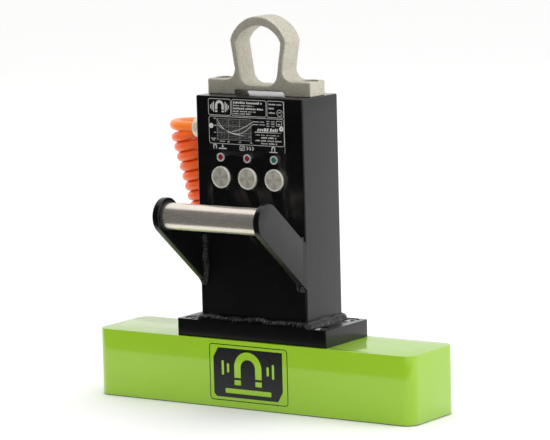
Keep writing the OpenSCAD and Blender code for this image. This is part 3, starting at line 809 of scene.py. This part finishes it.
# ------------------------------------------------------------------ base plate, screws, column
soft_copy("base_plate_painted", "base_plate", 0.9, M["black"], segs=3,
          only=lambda p, d: abs(p.x) > 50 or abs(p.y) > 20)
soft_copy("base_cap_screws", "base_screws", 0.5, M["screw_steel"])


def column():
    bm = cad_mesh("column_tube")
    bmesh.ops.recalc_face_normals(bm, faces=bm.faces)
    bevel_edges(bm, 0.25, 1, only=lambda p, d: p.y < -29.9 and p.z < 275)
    finish_mesh("column_body", bm, M["black"], replaces="column_tube", sharp=40)
    bm = cad_mesh("column_cap")
    bmesh.ops.recalc_face_normals(bm, faces=bm.faces)
    bevel_edges(bm, 1.3, 4, only=lambda p, d: abs(p.z - 294) < 0.05 and (abs(p.x) > 54.5 or abs(p.y) > 25))
    finish_mesh("column_top", bm, M["black"], replaces="column_cap", sharp=40)


column()


def bead(bm, path, leg_a, leg_b, seed, ripple=2.3, amp=0.35, rough=0.55, sides=9, closed=False, sink=0.8):
    """Weld bead. path: list of (corner point, direction a, direction b) in mm; the bead spans the corner from a to b."""
    rng = random.Random(seed)
    ph = rng.random() * 40
    rings = []
    s = 0.0
    prev = None
    for p, a, b in path:
        p, a, b = Vector(p), Vector(a), Vector(b)
        if prev is not None:
            s += (p - prev).length
        prev = p
        ring = []
        n1 = noise.noise(Vector((s / 7.5 + ph, 0.3, 0)))
        n2 = noise.noise(Vector((s / 7.5 + ph, 7.3, 0)))
        n3 = noise.noise(Vector((s / 18.0 + ph, 3.3, 0)))
        la = leg_a * (1 + 0.22 * n1 + 0.12 * n3)
        lb = leg_b * (1 + 0.22 * n2 + 0.16 * n3)
        for i in range(sides + 1):
            t = i / sides
            th = t * math.pi / 2
            # between a quarter ellipse and the straight fillet, slightly crowned
            e = 0.45
            ua = (math.cos(th) * e + (1 - t) * (1 - e)) * la
            ub = (math.sin(th) * e + t * (1 - e)) * lb
            mid = math.sin(t * math.pi)
            wave = 0.5 + 0.5 * math.sin(2 * math.pi * (s / ripple + 0.55 * mid + 0.25 * noise.noise(Vector((s / 4.0, ph, t * 2)))))
            lump = noise.noise(Vector((s / 4.2 + ph, t * 2.2, 1.7))) * rough + noise.noise(Vector((s / 1.6 + ph, t * 4.0, 5.7))) * rough * 0.22
            k = mid * (amp * wave + lump)
            out = (a * ua + b * ub)
            d = (a + b).normalized()
            ring.append(p + out + d * k)
        ring.append(p - a * sink + b * (lb * 0.6))
        ring.append(p - a * sink - b * sink)
        ring.append(p - b * sink + a * (la * 0.6))
        rings.append([bm.verts.new(v * MM) for v in ring])
    m = len(rings[0])
    pairs = list(zip(rings, rings[1:]))
    if closed:
        pairs.append((rings[-1], rings[0]))
    for r0, r1 in pairs:
        for i in range(m):
            j = (i + 1) % m
            bm.faces.new((r0[i], r0[j], r1[j], r1[i]))
    if not closed:
        bm.faces.new(rings[0])
        bm.faces.new(list(reversed(rings[-1])))
    return bm


def foot_path(step=0.55):
    """Round the foot of the column: points on its outline with the directions outwards and up."""
    out = []
    L, D, r = 120.0, 60.0, 2.0
    corners = [((1, -1), -90), ((1, 1), 0), ((-1, 1), 90), ((-1, -1), 180)]
    prev = None
    for (sx, sy), a0 in corners:
        cx, cy = sx * (L / 2 - r), sy * (D / 2 - r)
        start = (cx + r * math.cos(math.radians(a0)), cy + r * math.sin(math.radians(a0)))
        if prev is not None:
            n = int(math.dist(prev[0], start) / step)
            for i in range(1, n):
                f = i / n
                out.append((prev[0][0] + (start[0] - prev[0][0]) * f, prev[0][1] + (start[1] - prev[0][1]) * f, prev[1]))
        for i in range(11):
            a = a0 + 9 * i
            out.append((cx + r * math.cos(math.radians(a)), cy + r * math.sin(math.radians(a)), a))
        prev = (out[-1][:2], a0 + 90)
    start = out[0][:2]
    n = int(math.dist(prev[0], start) / step)
    for i in range(1, n):
        f = i / n
        out.append((prev[0][0] + (start[0] - prev[0][0]) * f, prev[0][1] + (start[1] - prev[0][1]) * f, prev[1]))
    return [((x, y, 81.0), (math.cos(math.radians(a)), math.sin(math.radians(a)), 0), (0, 0, 1)) for x, y, a in out]


bm = bmesh.new()
bead(bm, foot_path(0.5), 6.3, 6.0, 11, ripple=3.1, amp=0.5, rough=0.55, closed=True)
finish_mesh("foot_weld_bead", bm, M["weld"], replaces="base_weld", sharp=60)

# ------------------------------------------------------------------ brackets, bar
ARM_C = Vector((-88.5, 187.5))
SL = math.radians(39.5)
ARM_D = Vector((math.cos(SL), -math.sin(SL)))
ARM_U = Vector((math.sin(SL), math.cos(SL)))


def arm_hit(s, y):
    p = ARM_C + ARM_U * (17 * s)
    return p + ARM_D * ((y - p.x) / ARM_D.x)


def bracket(name, x0, node):
    bm = bmesh.new()
    ang = math.degrees(math.atan2(ARM_U.y, ARM_U.x))
    # the plate runs a little way into the column, where the weld joins them
    loop = [tuple(arm_hit(1, -29.2)), *arc(ARM_C, 17, ang, ang + 180, 40), tuple(arm_hit(-1, -29.2))]
    prism(bm, [loop], lambda u, v, t: (t, u, v), x0, x0 + 6.5)
    bmesh.ops.recalc_face_normals(bm, faces=bm.faces)
    bevel_edges(bm, 0.8, 3, min_angle=60, only=lambda p, d: p.y < -30.2)
    # filler ground smooth: it carries the outer face over the tube's rounded corner
    s = 1 if x0 > 0 else -1
    corner = [(59.53, -33.5), (59.74, -31.0), (59.96, -28.6), (60.03, -26.2), (60.03, -25.0), (57.0, -25.0), (57.0, -33.5)]
    rings = []
    for k in (-1, 1):
        rings.append([bm.verts.new(Vector((s * cx, cy, arm_hit(k, cy).y - 0.1 * k)) * MM) for cx, cy in corner])
    n = len(corner)
    for i in range(n):
        j = (i + 1) % n
        bm.faces.new((rings[0][i], rings[0][j], rings[1][j], rings[1][i]))
    bm.faces.new(rings[0])
    bm.faces.new(list(reversed(rings[1])))
    return finish_mesh(name, bm, M["black"], replaces=node, sharp=40)


bracket("arm_plate_left", -59.5, "handle_bracket_left")
bracket("arm_plate_right", 53.0, "handle_bracket_right")

bm = bmesh.new()
hi, lo = arm_hit(1, -30).y, arm_hit(-1, -30).y
for s in (-1, 1):
    # upright fillet in the inner corner, then blobs over the upper and lower edges
    zs = [lo - 1.5 + (hi - lo + 3) * i / 90 for i in range(91)]
    bead(bm, [((s * 53.0, -30.0, z), (-s, 0, 0), (0, -1, 0)) for z in zs], 3.6, 5.4, 21 + s, ripple=2.5, amp=0.4, rough=0.85)
    edge = [s * (52.6 + 5.8 * i / 16) for i in range(17)]
    e = (0, ARM_D.x * -1, ARM_D.y * -1)
    bead(bm, [((x, -30.0, hi - 0.6), (0, 0, 1), e) for x in edge], 5.4, 5.0, 31 + s, ripple=2.4, amp=0.4, rough=0.7)
    bead(bm, [((x, -30.0, lo + 0.6), (0, 0, -1), e) for x in edge], 4.2, 4.0, 41 + s, ripple=2.4, amp=0.4, rough=0.7)
finish_mesh("arm_weld_beads", bm, M["weld"], replaces="bracket_welds", sharp=60)

bm = bmesh.new()
lathe(bm, [(-51.0, 10.0), (-51.0, 12.2), (-50.7, 12.5), (50.7, 12.5), (51.0, 12.2), (51.0, 10.0)], (1, 0, 0), (0, -88.5, 187.5), 96)
finish_mesh("hand_bar_tube", bm, M["stainless"], replaces="handle_bar", sharp=40)
bm = bmesh.new()
for s in (-1, 1):
    prof = [(s * 53.0, 0.0), (s * 53.0, 13.8), (s * 52.8, 14.0), (s * 52.2, 14.0), (s * 51.9, 13.7), (s * 51.7, 13.1),
            (s * 51.2, 13.1), (s * 51.0, 12.8), (s * 51.0, 9.9), (s * 35.6, 9.9), (s * 35.0, 9.3), (s * 35.0, 0.0)]
    lathe(bm, prof, (1, 0, 0), (0, -88.5, 187.5), 72, close=False)
finish_mesh("hand_bar_collars", bm, M["plastic"], replaces="handle_collars", sharp=40)

# ------------------------------------------------------------------ lifting eye
def eye():
    arch_r, arch_c, arch_z = 33.2, 40.8, 51.0
    arch_x = math.sqrt(arch_r ** 2 - (arch_z - arch_c) ** 2)
    leg_x, leg_z, foot = 27.0, 24.5, 14.5
    leg_k = (arch_x - leg_x) / (arch_z - leg_z)
    ln = Vector((1, -leg_k)).normalized()
    fil_r = 10.0
    fil_z = foot + fil_r
    fil_x = leg_x + leg_k * (fil_z - leg_z) + fil_r / ln.x
    win_r, win_c, win_z = 27.9, 37.2, 49.6
    win_x = math.sqrt(win_r ** 2 - (win_z - win_c) ** 2)
    win_k, win_b, cor_r = 0.158, 9.5, 11.5
    wn = Vector((1, -win_k)).normalized()
    cor_x = win_x - win_k * (win_z - win_b - cor_r) - cor_r / wn.x
    sl, sh = 56.0, 4.0

    def deg(v, u):
        return math.degrees(math.atan2(v, u))

    out_r = arc((sl / 2 - 2.5, sh - 2.5), 2.5, 90, 0, 6) + [(sl / 2, 0), (58, 0), (58, foot)]
    out_r += arc((fil_x, fil_z), fil_r, 270, 180 + deg(ln.y, ln.x), 12)
    out_r += arc((0, arch_c), arch_r, deg(arch_z - arch_c, arch_x), 90, 30)
    outer = out_r + [(-x, z) for x, z in reversed(out_r)][1:]
    in_r = arc((cor_x, win_b + cor_r), cor_r, -90, deg(wn.y, wn.x), 14) + arc((0, win_c), win_r, deg(win_z - win_c, win_x), 90, 30)
    inner = in_r + [(-x, z) for x, z in reversed(in_r)][1:]
    bm = bmesh.new()
    prism(bm, [outer, inner], lambda u, v, t: (u, t, 294 + v), -12.75, 12.75)
    bmesh.ops.recalc_face_normals(bm, faces=bm.faces)
    bevel_edges(bm, 1.5, 3, min_angle=50, only=lambda p, d: p.z > 294.6)
    me = bpy.data.meshes.new("eye_casting")
    bm.to_mesh(me)
    bm.free()
    o = link(bpy.data.objects.new("eye_casting", me))
    r = o.modifiers.new("remesh", "REMESH")
    r.mode = "VOXEL"
    r.voxel_size = 0.00085
    s = o.modifiers.new("soften", "SMOOTH")
    s.factor, s.iterations = 0.5, 12
    bpy.context.view_layer.update()
    new = bpy.data.meshes.new_from_object(o.evaluated_get(bpy.context.evaluated_depsgraph_get()))
    o.modifiers.clear()
    o.data = new
    normals = [v.normal.copy() for v in new.vertices]
    for v, nv in zip(new.vertices, normals):
        c = v.co * 1000
        d = 0.16 * noise.noise(c / 9.0) + 0.12 * noise.noise(c / 3.2 + Vector((9, 3, 1))) + 0.06 * noise.noise(c / 1.5)
        keep = min(1.0, max(0.0, (c.z - 294.2) / 1.0))
        v.co += nv * d * MM * keep
    # sunk screw holes are machined, so they are cut after the casting's skin is made
    for s_ in (-1, 1):
        cut = bmesh.new()
        lathe(cut, [(-1, 0), (-1, 5.25), (6.5, 5.25), (6.5, 8.5), (14.2, 8.5), (16.5, 9.6), (16.5, 0)], (0, 0, 1), (s_ * 49, 0, 294), 48, close=False)
        boolean(o, cut)
    me = o.data
    for i in range(len(me.materials)):
        me.materials[i] = M["cast"]
    if not me.materials:
        me.materials.append(M["cast"])
    resmooth(o, 40)
    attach(o, ROOT)
    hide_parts("lifting_eye")


eye()
soft_copy("eye_cap_screws", "eye_screws", 0.5, M["screw_black"])

# ------------------------------------------------------------------ nameplate and its print
soft_copy("nameplate_blank", "nameplate", 0.18, M["panel"], segs=2)
soft_copy("nameplate_tube_rivets", "nameplate_rivets", 0.18, M["rivet"], segs=2)


class Ink:
    """Thin raised print on the plane y = y0, built from closed strips."""

    def __init__(self, y0, t=0.05):
        self.bm = bmesh.new()
        self.y0, self.t = y0, t

    def to3d(self, u, v, t):
        return (u, self.y0 - t, v)

    def fill(self, *loops):
        prism(self.bm, loops, self.to3d, -0.02, self.t)

    def box(self, x0, z0, x1, z1, slant=0.0):
        self.fill([(x0, z0), (x1, z0), (x1 + slant, z1), (x0 + slant, z1)])

    def stroke(self, pts, w, closed=False):
        n = len(pts)
        left, right = [], []
        for i, p in enumerate(pts):
            p = Vector(p)
            a = Vector(pts[(i - 1) % n]) if closed or i else None
            b = Vector(pts[(i + 1) % n]) if closed or i < n - 1 else None
            d1 = (p - a).normalized() if a is not None else None
            d2 = (b - p).normalized() if b is not None else None
            d1, d2 = d1 or d2, d2 or d1
            m = (d1 + d2).normalized()
            k = w / 2 / max(0.4, m.dot(d1))
            nrm = Vector((-m.y, m.x)) * k
            left.append(tuple(p + nrm))
            right.append(tuple(p - nrm))
        if closed:
            self.fill(left, right)
        else:
            self.fill(left + right[::-1])

    def frame(self, x0, z0, x1, z1, r, w=0.42):
        self.stroke(rounded(x1 - x0, z1 - z0, r, 6, (x0 + x1) / 2, (z0 + z1) / 2), w, closed=True)

    def row(self, x0, x1, z, h, seed, slant=0.0, gap=0.55, lo=0.7, hi=1.5):
        """A row of plain blocks that stands for a line of print, without letters."""
        rng = random.Random(seed)
        x = x0
        run = 0
        while x < x1 - 0.3:
            w = min(rng.uniform(lo, hi), x1 - x)
            k = rng.choice((1.0, 1.0, 0.78, 0.78))
            self.box(x, z - h / 2, x + w, z - h / 2 + h * k, slant)
            x += w + gap
            run += 1
            if run > rng.randint(3, 7):
                x += 1.1
                run = 0

    def done(self, name, mat, slot):
        return finish_mesh(name, self.bm, mat, sharp=20)


def magnet_sign(ink, cx, cz, s):
    """Generic horseshoe magnet with two tips; s is its half width."""
    a, b = s, s * 0.5
    ink.fill([(cx + x, cz + z) for x, z in arc((0, 0), a, 0, 180, 20) + [(-a, -s * 0.75), (-b, -s * 0.75)] + arc((0, 0), b, 180, 0, 14)
              + [(b, -s * 0.75), (a, -s * 0.75)]])
    for k in (-1, 1):
        x0, x1 = sorted((k * a, k * b))
        ink.box(cx + x0, cz - s * 1.25, cx + x1, cz - s * 0.95)


ink = Ink(-30.8)
ink.frame(-44.9, 276.3, -19.7, 291.5, 1.8)
ink.frame(-18.3, 276.3, 20.2, 291.5, 1.8)
ink.frame(21.4, 276.3, 39.7, 291.5, 1.8)
ink.frame(-44.6, 249.5, 39.7, 275.0, 2.4)
# sign: horseshoe between bars
magnet_sign(ink, -32.3, 285.2, 4.9)
for k in (-1, 1):
    for i, h in enumerate((9.6, 6.4, 3.4)):
        x = -32.3 + k * (6.6 + i * 1.75)
        ink.box(x - 0.5, 284 - h / 2, x + 0.5, 284 + h / 2)
ink.row(-16.8, 15.2, 288.8, 2.0, 1, slant=0.3, lo=1.0, hi=1.9)
ink.row(-16.8, 6.5, 286.0, 1.0, 2, lo=0.5, hi=1.2, gap=0.4)
ink.row(-16.8, 16.8, 283.3, 1.7, 3, lo=0.8, hi=1.7)
ink.row(-16.8, 8.5, 280.6, 1.1, 4, lo=0.5, hi=1.2, gap=0.4)
ink.row(-16.8, 2.5, 278.4, 1.1, 5, lo=0.5, hi=1.2, gap=0.4)
ink.row(23.2, 38.4, 288.4, 1.2, 6, lo=0.5, hi=1.2, gap=0.4)
ink.row(23.2, 29.0, 284.6, 1.3, 7, lo=0.8, hi=1.4)
ink.row(23.2, 30.0, 280.6, 1.5, 8, lo=0.8, hi=1.4)
ink.stroke(arc((35.2, 280.6), 2.9, 0, 345, 28), 0.5, closed=False)
ink.stroke(arc((35.2, 280.2), 1.2, 0, 180, 10), 0.45)
# chart with two falling and two rising curves
gx0, gx1, gz0, gz1 = -35.6, 2.8, 253.4, 273.0
for i in range(25):
    x = gx0 + (gx1 - gx0) * i / 24
    w = 0.20 if i % 8 == 0 else 0.06
    ink.box(x - w / 2, gz0 - (0.8 if i % 8 == 0 else 0), x + w / 2, gz1)
for i in range(13):
    z = gz0 + (gz1 - gz0) * i / 12
    w = 0.18 if i % 4 == 0 else 0.06
    ink.box(gx0 - (0.9 if i % 4 == 0 else 0), z - w / 2, gx1, z + w / 2)


def curve(f, n=26, x0=gx0, x1=gx1):
    return [(x0 + (x1 - x0) * i / n, f(i / n)) for i in range(n + 1)]


ink.stroke(curve(lambda t: 273.0 - 13.5 * (1 - math.exp(-5.5 * t)) - 2.6 * t), 0.55)
ink.stroke(curve(lambda t: 268.2 - 7.0 * (1 - math.exp(-4.5 * t)) - 4.6 * t), 0.55)
ink.stroke(curve(lambda t: 261.4 + 9.6 * t ** 1.5, x0=-19.0, x1=4.6), 0.55)
ink.stroke(curve(lambda t: 259.2 + 9.4 * t ** 1.7, x0=-13.0, x1=4.6), 0.55)
for z in (273.0, 266.4, 259.9):
    ink.row(-39.0, -36.9, z, 0.9, int(z), lo=0.6, hi=0.9, gap=0.35)
ink.row(-42.6, -37.4, 254.2, 0.9, 41, lo=0.5, hi=1.0, gap=0.35)
ink.row(-41.2, -38.4, 252.6, 0.9, 42, lo=0.5, hi=1.0, gap=0.35)
ink.row(-33.0, -27.0, 251.8, 0.9, 43, lo=0.5, hi=1.0, gap=0.35)
for x in (-22.8, -10.0, 2.8):
    ink.row(x - 1.2, x + 1.2, 251.6, 1.1, int(x) + 90, lo=0.7, hi=1.0, gap=0.35)
# lines of print beside the chart
ink.row(5.0, 18.6, 271.6, 0.9, 51, lo=0.5, hi=1.1, gap=0.35)
ink.row(5.0, 18.6, 269.0, 0.9, 52, lo=0.5, hi=1.1, gap=0.35)
for i, z in enumerate((272.4, 270.2, 268.0)):
    ink.row(20.4, 23.6, z, 0.9, 60 + i, lo=0.6, hi=1.0, gap=0.35)
    ink.row(25.6, 29.4, z, 0.9, 70 + i, lo=0.6, hi=1.0, gap=0.35)
ink.stroke(rounded(6.0, 4.6, 0.8, 4, 34.4, 270.8), 0.45, closed=True)
ink.box(33.0, 269.6, 35.8, 270.5)
ink.row(9.6, 32.4, 264.4, 3.0, 80, slant=0.7, lo=1.5, hi=2.6, gap=0.7)
ink.fill([(7.0, 261.5), (36.5, 261.9), (36.5, 262.2), (7.0, 262.3)])
ink.row(8.0, 34.6, 259.4, 0.8, 81, lo=0.4, hi=0.9, gap=0.35)
ink.row(14.0, 31.4, 257.0, 1.4, 82, lo=0.7, hi=1.4, gap=0.45)
ink.row(7.6, 38.0, 254.2, 1.2, 83, lo=0.6, hi=1.3, gap=0.4)
ink.row(14.0, 31.6, 251.6, 1.2, 84, lo=0.6, hi=1.3, gap=0.4)


# signs over the lamps: magnet let go, enable, magnet holds
def sign_release(cx, cz):
    magnet_sign(ink, cx - 5.4, cz + 0.7, 2.0)
    ink.fill([(cx - 1.2, cz - 1.9), (cx + 7.6, cz - 1.9), (cx + 7.6, cz - 0.9), (cx - 1.2, cz - 0.9)])
    ink.fill([(cx + 2.8, cz + 2.3), (cx + 3.7, cz + 2.3), (cx + 3.7, cz + 0.9), (cx + 4.8, cz + 0.9), (cx + 3.25, cz - 0.5),
              (cx + 1.7, cz + 0.9), (cx + 2.8, cz + 0.9)])


def sign_enable(cx, cz):
    ink.stroke(rounded(5.2, 4.2, 1.0, 4, cx - 5.0, cz), 0.6, closed=True)
    ink.stroke([(cx - 6.4, cz + 0.1), (cx - 5.3, cz - 1.0), (cx - 3.5, cz + 1.2)], 0.7)
    for i in range(3):
        x = cx - 0.4 + i * 3.1
        ink.fill([(x, cz - 1.7), (x + 1.1, cz - 1.7), (x + 2.5, cz), (x + 1.1, cz + 1.7), (x, cz + 1.7), (x + 1.4, cz)])


def sign_hold(cx, cz):
    magnet_sign(ink, cx, cz + 1.0, 2.1)
    ink.box(cx - 4.6, cz - 2.6, cx + 4.6, cz - 1.9)


# painted highlight: a thin strip of the white print along the plate's right edge, in place of the light that edge
# catches
ink.box(40.05, 243.5, 40.35, 291.5)
sign_release(-33.0, 246.4)
sign_enable(-2.6, 246.2)
sign_hold(27.3, 246.0)
ink.done("nameplate_print", M["ink"], "panel_print")

# ------------------------------------------------------------------ buttons and lamps
BTN_X = (-32.5, -2.5, 27.5)
for x, name, node in zip(BTN_X, ("release", "enable", "hold"), ("button_release", "button_enable", "button_hold")):
    c = (x * MM, -0.0324, 0.2177)
    bm = bmesh.new()
    lathe(bm, [(-32.22, 0.0), (-32.22, 6.6), (-32.28, 6.9), (-32.42, 7.3), (-32.46, 7.7), (-32.38, 8.0), (-32.15, 8.18), (-31.8, 8.2),
               (-31.0, 8.2), (-31.0, 5.0), (-19.4, 5.0), (-19.0, 4.6), (-19.0, 0.0)], (0, 1, 0), (x, 0, 217.7), 72, close=False)
    finish_mesh(f"push_{name}", bm, M["button"], body=node, replaces=node, sharp=40, origin=c)
bm = bmesh.new()
for x in BTN_X:
    prof = [(-6, 0), (-6, 9.1), (-6.4, 9.5)]
    a = -7.0
    while a > -28.6:
        prof += [(a, 9.45), (a - 0.5, 8.95)]
        a -= 1.0
    prof += [(-29.2, 9.4), (-30.0, 9.5), (-30.0, 10.4), (-31.2, 10.4), (-31.75, 10.28), (-32.2, 9.98), (-32.5, 9.55), (-32.6, 9.1), (-32.52, 8.75),
             (-32.25, 8.5), (-31.8, 8.4), (-29.0, 8.4), (-29.0, 5.05), (-9.0, 5.05), (-9.0, 0)]
    lathe(bm, prof, (0, 1, 0), (x, 0, 217.7), 64, close=False)
finish_mesh("button_housings", bm, M["bezel"], replaces="button_barrels", sharp=30)

soft_copy("lamp_chrome_rings", "lamp_bezels", 0.22, M["chrome"], segs=3)


def lens(names, xs, mat, node):
    bm = bmesh.new()
    for x in xs:
        dome = [(-30.9 + 5.07 - 5.8 * math.cos(math.radians(a)), 5.8 * math.sin(math.radians(a))) for a in range(0, 28, 4)]
        prof = dome + [(-30.7, 2.79), (-24.2, 2.79), (-24.0, 2.5), (-24.0, 0)]
        lathe(bm, prof, (0, 1, 0), (x, 0, 236.6), 40, close=False)
    finish_mesh(names, bm, mat, replaces=node, sharp=50)


lens("lamp_domes_red", BTN_X[:2], M["red"], "lamp_lenses_red")
lens("lamp_dome_green", BTN_X[2:], M["green_lamp"], "lamp_lens_green")

# ------------------------------------------------------------------ return springs


def return_spring(x, name):
    """Wire helix with closed ends, clear of the stem in front and of the barrel floor behind."""
    y0, y1, r, wire = -18.9, -9.1, 3.8, 0.38
    n, turns, sides = 132, 5.5, 8
    bm = bmesh.new()
    rings = []
    for i in range(n + 1):
        t = i / n
        a = 2 * math.pi * turns * t
        e = min(1.0, max(0.0, (t - 0.1) / 0.8))
        c = Vector((x + r * math.cos(a), y0 + wire + 0.9 * min(1.0, t / 0.1) + (y1 - y0 - 2 * wire - 1.8) * e
                    + 0.9 * max(0.0, (t - 0.9) / 0.1), 217.7 + r * math.sin(a)))
        out = Vector((math.cos(a), 0, math.sin(a)))
        along = Vector((-math.sin(a), 0.1, math.cos(a))).normalized()
        up = out.cross(along).normalized()
        rings.append([bm.verts.new((c + out * wire * math.cos(b) + up * wire * math.sin(b)) * MM)
                      for b in (2 * math.pi * k / sides for k in range(sides))])
    for p, q in zip(rings, rings[1:]):
        for k in range(sides):
            j = (k + 1) % sides
            bm.faces.new((p[k], p[j], q[j], q[k]))
    bm.faces.new(rings[0])
    bm.faces.new(rings[-1])
    bmesh.ops.recalc_face_normals(bm, faces=bm.faces)
    me = bpy.data.meshes.new("return_spring_" + name)
    bm.to_mesh(me)
    bm.free()
    shade(me, 50)
    me.materials.append(M["screw_steel"])
    o = link(bpy.data.objects.new("return_spring_" + name, me))
    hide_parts("spring_" + name)
    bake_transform(o)


for x, name in zip(BTN_X, ("release", "enable", "hold")):
    return_spring(x, name)

# ------------------------------------------------------------------ gland and small metal parts
soft_copy("gland_cap_nut", "gland_nut", 0.35, M["nickel"], segs=2)
soft_copy("gland_threaded_body", "gland_body", 0.35, M["nickel"], segs=2)

for node, key in {
    "pole_shoe": "pole", "side_magnets": "rare_earth", "alnico_cores": "alnico", "magnet_coil": "winding", "face_seal": "brass",
    "pole_screws": "screw_steel", "base_gasket": "rubber", "button_nuts": "nickel", "button_switches": "plastic", "gland_seal": "rubber",
    "gland_locknut": "nickel", "control_board": "board", "board_standoffs": "nickel", "board_screws": "screw_steel",
    "capacitors": "cap", "power_module": "plastic", "heat_sink": "sink", "terminal_block": "terminal", "inner_wires": "wire",
}.items():
    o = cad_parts[node]
    for s in o.material_slots:
        s.material = M[key]

# ------------------------------------------------------------------ stage and light
fm = Mat("floor_pale", (251, 251, 250), 0.75, spec=0.2)
fm.mottle(900, (248, 248, 248), 0.5)
fm.done()
bm = bmesh.new()
bmesh.ops.create_circle(bm, cap_ends=True, radius=9.0, segments=96)
bmesh.ops.translate(bm, vec=(0, 0, -0.0004), verts=bm.verts)
me = bpy.data.meshes.new("floor")
bm.to_mesh(me)
bm.free()
me.materials.append(fm.m)
floor = link(bpy.data.objects.new("floor", me))
floor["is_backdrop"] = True

world = bpy.data.worlds.new("studio")
bpy.context.scene.world = world
world.use_nodes = True
world.node_tree.nodes["Background"].inputs["Color"].default_value = (1.0, 1.0, 1.0, 1)
world.node_tree.nodes["Background"].inputs["Strength"].default_value = 1.0


def softbox(name, loc, aim, size, power, color=(1, 1, 1)):
    d = bpy.data.lights.new(name, "AREA")
    d.shape = "RECTANGLE"
    d.size, d.size_y = size
    d.energy = power
    d.color = color
    o = link(bpy.data.objects.new(name, d))
    o.location = loc
    o.rotation_mode = "QUATERNION"
    o.rotation_quaternion = (Vector(aim) - Vector(loc)).to_track_quat("-Z", "Y")
    return o


softbox("top_box", (0.3, 0.2, 2.4), (0, 0, 0.1), (2.0, 1.6), 16)
softbox("right_box", (2.4, 0.9, 1.1), (0, 0, 0.2), (1.6, 1.6), 12)

# a dark card on the floor at the front left, seen in reflections only: it keeps the black front black
card_mat = bpy.data.materials.new("dark_card")
card_mat.use_nodes = True
card_mat.node_tree.nodes["Principled BSDF"].inputs["Base Color"].default_value = (0.004, 0.004, 0.004, 1)
card_mat.node_tree.nodes["Principled BSDF"].inputs["Roughness"].default_value = 1.0
card_mat.node_tree.nodes["Principled BSDF"].inputs["Specular IOR Level"].default_value = 0.0


def card(name, corners):
    me = bpy.data.meshes.new(name)
    me.from_pydata(corners, [], [(0, 1, 2, 3)])
    me.materials.append(card_mat)
    o = link(bpy.data.objects.new(name, me))
    o.visible_camera = False
    o.visible_diffuse = False
    o.visible_shadow = False
    o.visible_transmission = False
    o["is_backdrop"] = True


card("dark_card_floor", [(-3.0, -3.2, 0.001), (1.2, -3.2, 0.001), (1.2, -0.185, 0.001), (-3.0, -0.185, 0.001)])
card("dark_card_wall", [(-2.6, -0.6, 0.0), (0.8, -2.3, 0.0), (0.8, -2.3, 3.0), (-2.6, -0.6, 3.0)])

lo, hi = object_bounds()
